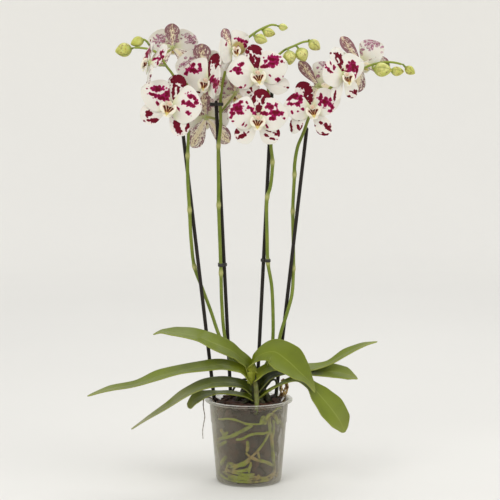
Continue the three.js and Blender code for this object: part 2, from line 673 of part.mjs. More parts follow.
// A clip: two loops joined by a bridge, round a stake and a spike, with a tab to press.
function clip({ spike: name, z, stem, tab }) {
  const [sx, sy] = stakePoint(STAKES[name], z);
  const [low, high] = [z - CLIP.height / 2, z + CLIP.height / 2];
  const loop = (x, y, r) => straightRod([x, y, low], [x, y, high], r, 6);
  const bar = (x, y, w, d, h, turn) =>
    solidOf(new THREE.BoxGeometry(w, d, h).rotateZ(turn).translate(x, y, z));
  const turn = Math.atan2(stem[1] - sy, stem[0] - sx);
  const span = Math.hypot(stem[0] - sx, stem[1] - sy);
  const reach = STAKE_RADIUS + GAP + CLIP.ring + CLIP.tab[0] / 2 - 0.5;
  return cut(
    fuse([
      loop(sx, sy, STAKE_RADIUS + GAP + CLIP.ring),
      loop(stem[0], stem[1], SPIKE.radius + GAP + CLIP.ring),
      bar((sx + stem[0]) / 2, (sy + stem[1]) / 2, span, 3, CLIP.height, turn),
      bar(sx + tab[0] * reach, sy + tab[1] * reach, ...CLIP.tab, Math.atan2(tab[1], tab[0])),
    ]),
    [stake(STAKES[name], GAP), spikeAxis(SPIKES[name], GAP)]);
}

// ---- The plant in its pot ----

const COLOURS = {
  pot: matt(0x9a958a, 0.35),
  bark: matt(0x2c1a12, 0.95),
  roots: matt(0x7f8a4a),
  leaf: matt(0x5f7d2c, 0.4),
  spike: matt(0x7c9438, 0.5),
  petal: matt(0xe9dfe2, 0.6),
  lip: matt(0xece2b4, 0.5),
  black: matt(0x1b1916, 0.5),
  dry: matt(0x9a7b4a, 0.9),
};

const plant = new THREE.Group();

const crownCutter = [crown(GAP), aerialRoot(GAP)];
const stakeHoles = Object.values(STAKES).map((each) =>
  straightRod([each.foot[0], each.foot[1], each.foot[2] - GAP],
    stakePoint(each, BARK.top + 20), STAKE_RADIUS + GAP, 8));

plant.add(meshOf("pot", pot(), COLOURS.pot));
plant.add(meshOf("bark", bark([...stakeHoles, crown(GAP)]), COLOURS.bark));
plant.add(meshOf("crown_and_roots", crownAndRoots(), COLOURS.roots));
plant.add(meshOf("hanging_root", hangingRoot(), COLOURS.dry));
plant.add(meshOf("dry_sheath", drySheath(), COLOURS.dry));

for (const [name, stations] of Object.entries(LEAVES))
  plant.add(meshOf("leaf_" + name, cut(leaf(stations), crownCutter), COLOURS.leaf));

for (const [name, each] of Object.entries(STAKES))
  plant.add(meshOf("stake_" + name, stake(each), COLOURS.black));

for (const each of CLIPS) plant.add(meshOf(each.name, clip(each), COLOURS.black));

for (const name of Object.keys(SPIKES))
  plant.add(meshOf("spike_" + name, cut(spike(name), crownCutter), COLOURS.spike));

for (const [name, bloom] of Object.entries(BLOOMS)) {
  const head = new THREE.Group();
  head.applyMatrix4(bloomMatrix(bloom));
  head.add(meshOf("bloom_" + name, tepals(STANCES[name]), COLOURS.petal));
  head.add(meshOf("lip_" + name, lip(), COLOURS.lip));
  plant.add(head);
}

export default plant;
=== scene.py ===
import math
import random

import bpy
from mathutils import Matrix, Vector


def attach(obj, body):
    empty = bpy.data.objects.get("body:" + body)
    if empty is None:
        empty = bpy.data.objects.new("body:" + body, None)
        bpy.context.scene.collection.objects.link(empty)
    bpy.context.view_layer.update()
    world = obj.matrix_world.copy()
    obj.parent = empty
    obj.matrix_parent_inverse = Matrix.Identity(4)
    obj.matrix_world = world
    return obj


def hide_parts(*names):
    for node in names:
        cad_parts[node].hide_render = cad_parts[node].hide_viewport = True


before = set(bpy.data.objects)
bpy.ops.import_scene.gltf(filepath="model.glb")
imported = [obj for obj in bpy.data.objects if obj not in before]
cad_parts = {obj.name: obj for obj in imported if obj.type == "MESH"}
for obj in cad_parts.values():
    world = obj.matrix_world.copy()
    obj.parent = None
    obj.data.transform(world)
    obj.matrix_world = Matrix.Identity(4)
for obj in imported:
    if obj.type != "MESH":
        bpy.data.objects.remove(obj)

bl_info = {
    "name": "Potted moth orchid",
    "version": (1, 0, 0),
    "blender": (4, 5, 0),
    "location": "3D View > Sidebar > Orchid",
    "description": "A moth orchid with four staked flower spikes in a clear pot of bark",
    "category": "Object",
}

# Lengths in the tables are millimetres, +Z is up and the plant is seen from -Y.
MM = 0.001

# ---- The plant's measures ----

# The pot's outer wall as radius and height, and its drain holes' count, radius and place.
POT = {
    "height": 113.4, "rim": 59.5, "wall": 1.1, "floor": 1.8, "drain": (4, 3.5, 27),
    "outer": [(43, 0), (44.6, 4), (51, 81), (51.7, 82), (53.5, 107.5)],
}
# The fill's height, the least and greatest length, width and thickness of its chips, and the seeds
# that place the chips and shape the roots.
BARK_TOP = 106
CHIP_SIZES = ((9, 21), (6, 13), (2.5, 5))
BARK_SEED, ROOT_SEED = 11, 5
# The stub that leaves and spikes grow from: its middle, then heights and radii up it.
CROWN = {"centre": (8, 0), "rings": [(84, 5), (100, 5), (114, 6), (130, 7), (142, 6), (148, 3)]}

# Each stake's foot and top.
STAKES = {
    "a": ((-37.3, 13, 20), (-88.5, 6, 473)),
    "b": ((-20.7, 25, 20), (-44.3, 20, 517)),
    "c": ((6.6, 28.8, 20), (31.3, 18, 531)),
    "d": ((27, 23.4, 20), (78.6, 18, 481)),
}
# Each clip: its stake, its height, where the stem is there, and the way that its tab points.
CLIPS = {
    "clip_low_b": ("b", 294, (-38.3, 15.4), (-1, 0)),
    "clip_low_c": ("c", 300, (25.9, 16), (1, 0.1)),
    "clip_top_b": ("b", 512, (-38.1, 13.9), (-1, -0.3)),
}

# Each leaf's midrib from the crown to the tip: x, y, z, half width, tilt of the blade in degrees.
LEAVES = {
    "left_1": [(5, -2, 142, 8, 50), (-2, -2, 160, 9.5, 50), (-12, -5, 170, 12, 45),
        (-24, -10, 180, 15, 38), (-46, -15, 190, 21, 26), (-70, -17, 200, 22, 14),
        (-99, -17, 205, 19, 8), (-117, -15, 206, 12, 5), (-129, -14, 203, 2, 5)],
    "left_2": [(4, -4, 135, 8, 55), (-6, -7, 150, 8.5, 50), (-16, -11, 156.5, 9.5, 38),
        (-37, -15, 161, 12.5, 24), (-62, -20, 159, 15.5, 16), (-91, -24, 155, 17, 12),
        (-121, -26, 147.5, 17, 14), (-153, -26, 136.5, 12, 9), (-187, -24, 130, 11, 12),
        (-218, -22, 120, 3, 10)],
    "left_3": [(4, -6, 122, 8, 55), (-6, -9, 131, 8.5, 45), (-18, -14, 136, 11, 28),
        (-37, -20, 138, 14, 18), (-59, -27, 136, 15.5, 14), (-84, -34, 126, 12.5, 13),
        (-109, -40, 110, 9, 8), (-132, -44, 96, 7.5, 6), (-157, -46, 80, 2, 5)],
    "left_4": [(4, -5, 112, 6.5, 40), (-7, -10, 118, 7, 20), (-20, -13, 121.5, 8.5, 6),
        (-38, -15, 123, 9, 3), (-56, -16, 121, 10, 14), (-71, -16, 116, 10, 40),
        (-82, -15, 103, 5, 60)],
    "right_1": [(3.5, -8, 134, 5, 0), (4, -10.5, 149, 5.5, 8), (5, -13, 162, 6.5, 20),
        (12, -15, 172.5, 10, 36), (33, -19, 180, 21, 42), (51, -28, 170, 26, 34),
        (68, -37, 155, 19, 24), (80, -43, 144, 9, 15), (88, -47, 130, 2, 10)],
    "right_2": [(9, -3, 132, 7, 50), (12, -5, 144, 7.5, 50), (18, -5, 151, 7.5, 45),
        (29, -4, 156, 8, 35), (56, -1, 158, 13, 14), (82, 6, 153, 16, 9), (109, 10, 159, 8, 9),
        (133, 12, 173, 13, 9), (155, 13, 183, 10, 9), (176, 13, 189, 2, 5)],
    "right_3": [(10, -3, 119, 7, 40), (19, -3, 134, 7.5, 40), (27, -2, 142, 7.5, 30),
        (38, -1, 147, 9, 16), (59, 4, 150, 12, 10), (86, 6, 147, 14, 14), (114, 7, 148, 17, 24),
        (134, 9, 144, 16, 24), (149, 10, 138, 4, 15)],
    "right_4": [(11, -4, 109, 6, 30), (23, -9, 121, 6, 14), (38, -13, 131.5, 6.5, 10),
        (53, -18, 140, 8, 16), (69, -26, 144, 9, 16), (83, -33, 137, 9, 30),
        (95, -38, 124, 16, 38), (109, -42, 108, 21, 40), (121, -45, 91, 19, 38),
        (128, -46, 76, 7, 35)],
}
# How each leaf's foot is toned, from 1, yellow-green, to -1, darkened as painted deep shade;
# and how much painted grey sheen the leaf has on its outer half.
LEAF_TONES = {
    "left_1": (-0.2, 0), "left_2": (0.4, 0.15), "left_3": (-0.7, 0.9), "left_4": (-0.1, 0.2),
    "right_1": (1, 0), "right_2": (0.7, 0), "right_3": (-1, 0), "right_4": (-0.1, 0),
}

# Each spike: its axis from the crown to its last bud, the heights of its nodes, and its buds as
# centre, radius, half length, lean in degrees and the axis point that its pedicel leaves.
SPIKES = {
    "a": {
        "axis": [
            (6, 7, 138), (-8, 11, 146), (-20, 12, 158), (-29, 12, 173), (-41, 16, 198),
            (-52, 20, 230), (-65, 21, 265), (-74, 16, 291), (-78, 4, 329), (-80, 2, 370),
            (-82, 0, 408), (-82, -2, 442), (-81, -4, 475), (-84, -4, 502), (-92, -5, 531),
            (-101, -6, 551), (-110, -6, 563), (-119, -4, 577), (-129, -2, 584), (-146, 0, 587),
            (-153, 0, 587),
        ],
        "nodes": [291, 370, 442],
        "buds": [((-167, 0, 584), 9.5, 11.5, -100, 20), ((-149, 4, 595), 7, 9.5, -110, 18)],
    },
    "b": {
        "axis": [
            (9, 9, 143), (-4, 16, 152), (-16, 18, 160), (-26, 18, 171), (-33, 17, 196),
            (-37, 16, 243), (-38, 15.5, 282), (-39, 15, 316), (-41, 15, 375), (-41, 14, 407),
            (-41, 13, 455), (-38, 13, 484), (-38, 14, 518), (-35, 14, 542), (-27, 15, 571),
            (-21, 18, 583), (-12, 18, 593), (-1, 16, 601), (12, 14, 610), (22, 13, 615),
            (31, 12, 618), (38, 12, 617),
        ],
        "nodes": [282, 375, 455],
        "buds": [
            ((16, 8, 599), 7, 9.5, 110, 18), ((27, 15, 608), 6.5, 9, 105, 19),
            ((46, 12, 615), 5, 6.5, 100, 21),
        ],
    },
    "c": {
        "axis": [
            (12, 9, 141), (24, 18, 157), (31, 19, 174), (33, 19, 193), (33, 18, 231),
            (31, 17, 267), (26, 16, 297), (25, 16, 328), (25, 15, 387), (29, 14, 400),
            (32, 12, 434), (30, 11, 455), (29, 9, 484), (27, 8, 518), (26, 8, 544), (32, 9, 568),
            (46, 10, 583), (61, 9, 590), (73, 8, 595), (81, 8, 596),
        ],
        "nodes": [297, 387, 434],
        "buds": [
            ((54, 2, 574), 9, 10, 175, 16), ((71, 6, 578), 9, 10, 150, 17),
            ((88, 7, 591), 7.5, 9.5, 130, 19),
        ],
    },
    "d": {
        "axis": [
            (14, 6, 132), (28, 15, 152), (38, 15, 175), (44, 14, 202), (53, 14, 231),
            (59, 18, 254), (61, 25, 288), (61, 27, 315), (60, 27, 366), (61, 24, 395),
            (62, 20, 416), (62, 16, 430), (66, 12, 455), (74, 9, 475), (82, 7, 497), (95, 5, 518),
            (114, 3, 538), (134, 2, 551), (151, 1, 559), (166, 0, 565), (184, -2, 568),
            (196, -3, 567), (204, -3, 565),
        ],
        "nodes": [288, 366, 416],
        "buds": [
            ((178, -9, 558), 9.5, 12.5, 95, 19), ((198, -3, 556), 6.5, 9, 95, 20),
            ((215, -3, 557), 6, 8, 125, 22),
        ],
    },
}

# Each bloom: where its pedicel leaves the axis, the middle of its face, yaw to the right, pitch
# upwards and clockwise roll in degrees, size, and a point that its pedicel passes if it bends.
BLOOMS = {
    "a1": ((-81, -4, 478), (-103, -42, 510), -6, 4, 16, 1.07, None),
    "a2": ((-110, -6, 563), (-129, -43, 566), -82, 14, 0, 0.92, None),
    "a3": ((-119, -4, 577), (-103, 30, 589), 180, 20, 0, 0.86, None),
    "a4": ((-86, -4, 512), (-53, -26, 541), -36, 4, 14, 0.98, (-66, 18, 520)),
    "a5": ((-92, -5, 531), (-63, 24, 557), 180, 6, 0, 0.92, None),
    "b1": ((-38, 13, 484), (-59, 42, 494), 207, -8, 8, 1.08, (-31, 31, 488)),
    "b2": ((-39, 13.5, 501), (-19, 31, 527), 186, 0, 0, 0.88, None),
    "b3": ((-27, 15, 571), (-22, -12, 584), 45, 0, -26, 0.75, None),
    "c1": ((30, 10, 470), (12, -30, 493), 0, 2, 3, 1, None),
    "c2": ((26, 8, 546), (12, -14, 551), 0, 4, -10, 1.03, None),
    "d1": ((78, 8, 487), (84, -14, 506), 4, 4, -10, 0.98, None),
    "d2": ((130, 2, 549), (125, -26, 551), 30, 4, -16, 0.94, None),
    "d3": ((148, 1, 558), (151, 14, 567), 165, 6, 36, 1, None),
    "d4": ((104, 4, 528), (94, 30, 537), 188, 2, 39, 1, None),
}

# Tepals: length, half width, half width at the foot, powers that shape the bulge, how far the
# tepal is set back, its bend and cup, its skew, where it starts, and how much it is waisted.
SEPAL = dict(length=37.5, half=11.5, claw=1.8, bulge=(1.9, 0.6), back=-1.2, bend=-3, cup=-0.12,
             skew=0, root=2.4, waist=0)
PETAL = dict(length=38, half=22.5, claw=1.8, bulge=(0.85, 0.62), back=1, bend=7, cup=-0.1,
             skew=3, root=2.4, waist=0.38)
# The way each tepal points, in degrees from +X. The left petal is the right one mirrored.
TEPALS = {
    "dorsal": (SEPAL, 90), "low_left": (SEPAL, 221), "low_right": (SEPAL, 318),
    "right": (PETAL, 12), "left": (PETAL, 12),
}
# The hub that a bloom's tepals meet at: its radius and half its depth.
HUB = (4.8, 3.2)
# Tepals that stand otherwise in one bloom: degrees turned about the face, degrees swung back,
# factors on width and length, and how far the middle bows to the left of its way.
AS_THE_REST = (0, 0, 1, 1, 0)
STANCES = {
    "a1": {"left": (5, 0, 0.85, 1), "low_left": (-4, 0, 1.1, 1), "low_right": (-7, 0, 1, 1)},
    "a2": {"dorsal": (0, -20, 1, 0.8), "right": (26, 35, 0.8, 1)},
    "a4": {"dorsal": (0, 0, 0.85, 1), "right": (-9, -22, 0.95, 0.98),
           "low_right": (14, -5, 0.6, 0.55)},
    "a5": {"dorsal": (0, 0, 1.1, 1)},
    "b1": {"low_left": (15, 0, 0.95, 1.1), "low_right": (-7, 0, 0.98, 1.13)},
    "c1": {"dorsal": (-5.5, 0, 1.04, 1), "left": (0, 0, 0.93, 1), "right": (0, 0, 0.93, 1),
           "low_left": (11, 0, 1.1, 1), "low_right": (-7, 0, 1.1, 0.98)},
    "c2": {"left": (0, 0, 0.93, 1), "right": (0, 0, 0.93, 1),
           "low_left": (8, 0, 1, 0.85), "low_right": (10, 0, 1, 1.1, -3.2)},
    "d1": {"dorsal": (13, 0, 1, 1), "left": (0, 0, 0.8, 1), "right": (0, 0, 0.8, 1),
           "low_left": (-1, 0, 0.76, 1.06, -3.5), "low_right": (-24, 0, 0.96, 1.06)},
    "d2": {"left": (0, 0, 0.82, 1), "right": (0, 15, 0.85, 1),
           "low_left": (10, 0, 0.7, 1), "low_right": (-28, 0, 1, 0.95)},
    "d3": {"dorsal": (0, 0, 0.68, 1.12), "left": (-8, 15, 0.8, 0.95)},
    "d4": {"dorsal": (0, 0, 0.65, 1.08), "left": (0, 0, 0.9, 0.9), "right": (-30, 10, 0.8, 1),
           "low_left": (0, 0, 1, 0.8)},
}
# Tepals whose outer side is what the viewer sees, though their bloom faces forward.
TURNED_OVER = {("b3", "dorsal")}
# How dark each kind of tepal's blotches are.
PETAL_DEPTH, DORSAL_DEPTH, SEPAL_DEPTH = 0.1, 0.75, 0.6

# Roots pressed against the pot's front wall: thickness as a factor, then the way as distances to
# the right of the middle and heights.
FRONT_ROOTS = [
    (0.75, [(-41, 96), (-36, 95), (-29, 95.5), (-19, 94), (-11, 91), (-3, 88), (6, 87.5),
            (16, 88)]),
    (1.6, [(16, 87), (18, 93), (20.5, 99)]),
    (1.3, [(21, 87), (24, 97), (30, 101), (36, 98), (39, 88)]),
    (0.7, [(32, 104), (39, 110), (44, 111)]),
    (1.25, [(27, 98), (28.5, 80), (31, 64), (32.5, 46), (34, 33), (35, 20)]),
    (0.9, [(33, 94), (33.5, 80), (31.5, 66)]),
    (1.3, [(-43, 66), (-33, 69), (-23, 71), (-15, 75), (-5, 80), (5, 86)]),
    (0.95, [(-17, 66), (-9, 67), (0, 72), (10, 74.5), (21, 75), (27, 78)]),
    (0.9, [(27, 77), (23, 67), (16, 56), (6.5, 45), (-3, 37), (-13, 30), (-22, 24)]),
    (1.1, [(4, 42), (-5, 35), (-14, 31), (-26, 27)]),
    (1.2, [(2.5, 42), (10, 38), (21, 35.5), (31, 31), (35, 28)]),
    (1.2, [(-2, 64), (-1.3, 57), (-2.5, 49)]),
    (0.8, [(-4, 48), (1.3, 42)]),
    (0.85, [(12, 51), (13, 45), (14.5, 40)]),
    (1.1, [(-38, 82), (-35, 76), (-32, 68)]),
    (1, [(-28, 77), (-36, 70)]),
    (1.2, [(-43, 58), (-35, 61), (-30, 64)]),
    (1.35, [(-37.5, 31), (-35, 37), (-30, 43)]),
    (0.9, [(-27, 35), (-30, 26), (-32.5, 18)]),
    (1.15, [(-26, 33), (-16, 30), (-5, 32), (1.5, 38)]),
    (1.2, [(-25, 23), (-13, 22), (0, 25.5), (3, 32)]),
    (1.05, [(-31, 24), (-18, 20), (-5, 17), (8, 18)]),
    (0.8, [(3, 35), (1.3, 26), (0, 20)]),
    (0.9, [(-39, 18), (-31, 12), (-16, 8), (0, 7), (16, 8), (28, 11), (36, 19)]),
    (0.85, [(-36, 22), (-23, 16), (-8, 13.5), (8, 14.5), (21, 13), (34, 20)]),
    (1, [(-28, 14), (-13, 11.5), (0, 11), (16, 12)]),
    (0.8, [(-22, 22), (-6, 17), (3, 10)]),
    (0.8, [(-14, 16), (-6, 11), (4, 8)]),
    (0.8, [(12, 17), (20, 10), (27, 12)]),
    (1, [(35, 30), (34, 22), (29, 14)]),
]
# Roots along the rest of the wall: degrees right of the front, and height.
FAR_ROOTS = [
    [(-69, 51), (-90, 62), (-121, 58), (-150, 74), (-176, 66)],
    [(-84, 9), (-110, 14), (-140, 9), (-170, 12), (-200, 9)],
    [(64, 9), (110, 12), (150, 9), (190, 14)],
    [(56, 89), (73, 79), (104, 70), (140, 76), (176, 62), (214, 52)],
    [(139, 80), (150, 55), (139, 36), (152, 22), (150, 6)],
    [(-100, 92), (-112, 70), (-104, 46), (-118, 26), (-112, 10)],
]
# Roots and old leaf bases that stand out of the bark round the crown: radius, then the way. All
# but the first wear painted shade, and some are dark filler that stands for the deep shade there.
AERIAL_ROOTS = [
    (3.2, [(7.5, -2, 137), (9, -13, 135), (10, -28, 130), (10.5, -39, 122), (10.5, -44, 113),
           (10, -42, 104), (8.5, -35, 96)]),
    (3.6, [(12, 2, 128), (20, 2, 122), (26, 0, 110), (28, -2, 96)]),
    (3.2, [(10, 6, 132), (17, 14, 128), (22, 24, 118), (22, 28, 98)]),
    (3.4, [(4, 5, 126), (-7, 8, 120), (-15, 8, 110), (-18, 6, 96)]),
    (3, [(7, 7, 134), (-2, 16, 128), (-10, 25, 116), (-12, 29, 98)]),
    (3, [(12, -3, 118), (16, -10, 113), (21, -16, 107), (24, -20, 98)]),
    (2.6, [(3, -3, 114), (-5, -9, 110), (-14, -14, 105), (-17, -16, 96)]),
    (4.4, [(12, 1, 136), (16, 2, 127), (18, 4, 112), (18, 6, 97)]),
    (3.6, [(6, 3, 130), (1, 4, 120), (-3, 4, 108), (-4, 4, 97)]),
    (4.6, [(20, 3, 124), (24, 5, 116), (27, 7, 106), (28, 8, 97)]),
    (1.8, [(13, 6, 114), (20, 7, 123), (26, 8, 131), (31, 9, 136.5), (36, 9, 137), (39, 10, 130),
           (38, 12, 114), (36, 12, 98)]),
    (1.6, [(8, 12, 130), (-3, 18, 136), (-15, 22, 130), (-23, 25, 116), (-25, 26, 98)]),
]
HANGING_ROOT = [
    (-42, -9, 100), (-46, -7, 108), (-51.5, -6, 114.4), (-57, -5, 115.1), (-60.7, -5, 113.7),
    (-62, -5, 106), (-61.5, -5, 99), (-60, -5, 89), (-61.5, -5, 79), (-63, -5, 69), (-62.5, -5, 58),
]
# Strands of the dried sheath: radius, then the way.
DRY_SHEATH = [
    (2.6, [(37, 29.5, 99), (40, 29, 107), (46, 27, 112), (51.5, 25, 117), (53, 23, 125),
           (49.5, 21, 132), (44, 21, 134)]),
    (2.2, [(40, 31, 99), (43, 30, 106), (44.5, 28, 114), (44, 26, 122), (46.5, 24, 130),
           (48, 23, 136)]),
    (1.7, [(45, 27, 99), (49, 26, 105), (50.5, 25, 112), (47, 24, 119), (43, 23, 125)]),
    (1.5, [(41, 26, 99), (42, 25, 109), (47, 23.5, 116), (50, 22, 123), (51, 21, 129)]),
]

# The maroon blotches of each bloom's tepals: right and up from the middle of its face, half width
# and half height, all in steps of BLOTCH_STEP, and the turn in degrees of one that is turned. Those
# of the blooms that face the viewer are laid out as they are seen, and the rest share the plain set
# in their own frame.
BLOTCH_STEP = 1.33
PLAIN = {
    "left": [(-18, 15, 4, 2.2, 20), (-21, 10, 7, 4.2, 8), (-25, 5, 2.8, 2.6), (-18, 6, 3.8, 2.2),
        (-11, 15, 1.3, 1.5), (-9.5, 10, 2.2, 1.6, 30), (-27, 0, 1.6, 1.3), (-24, -4, 1.3, 1),
        (-6, 8, 2, 2.6, 20)],
    "right": [(12, 12, 4.8, 3.4), (18, 14, 2, 1.8), (17, 7, 7, 3.8), (23, 6, 1.8, 4.5, 38),
        (15, 1, 3.8, 2), (26, 1, 1.3, 1.3), (6, 5, 5, 2, 20)],
    "dorsal": [(1, 26, 6, 4.3), (-4, 19, 2.2, 8), (4, 18, 2, 7), (0, 21, 2.2, 4), (0, 10, 3, 4.5)],
    "low_left": [(-22, -15, 2.5, 3.8, 45), (-17, -22, 5.5, 2, 40), (-20, -19, 2, 2),
        (-12, -16, 1, 2, -38), (-13, -8, 0.8, 2.2, -38)],
    "low_right": [(22, -15, 2.4, 3.6, -45), (18, -21, 4.5, 1.7, -40), (12, -17, 3.6, 1.4, -40),
        (14, -9, 0.9, 3, 38), (17, -14, 2, 0.9, -30)],
}
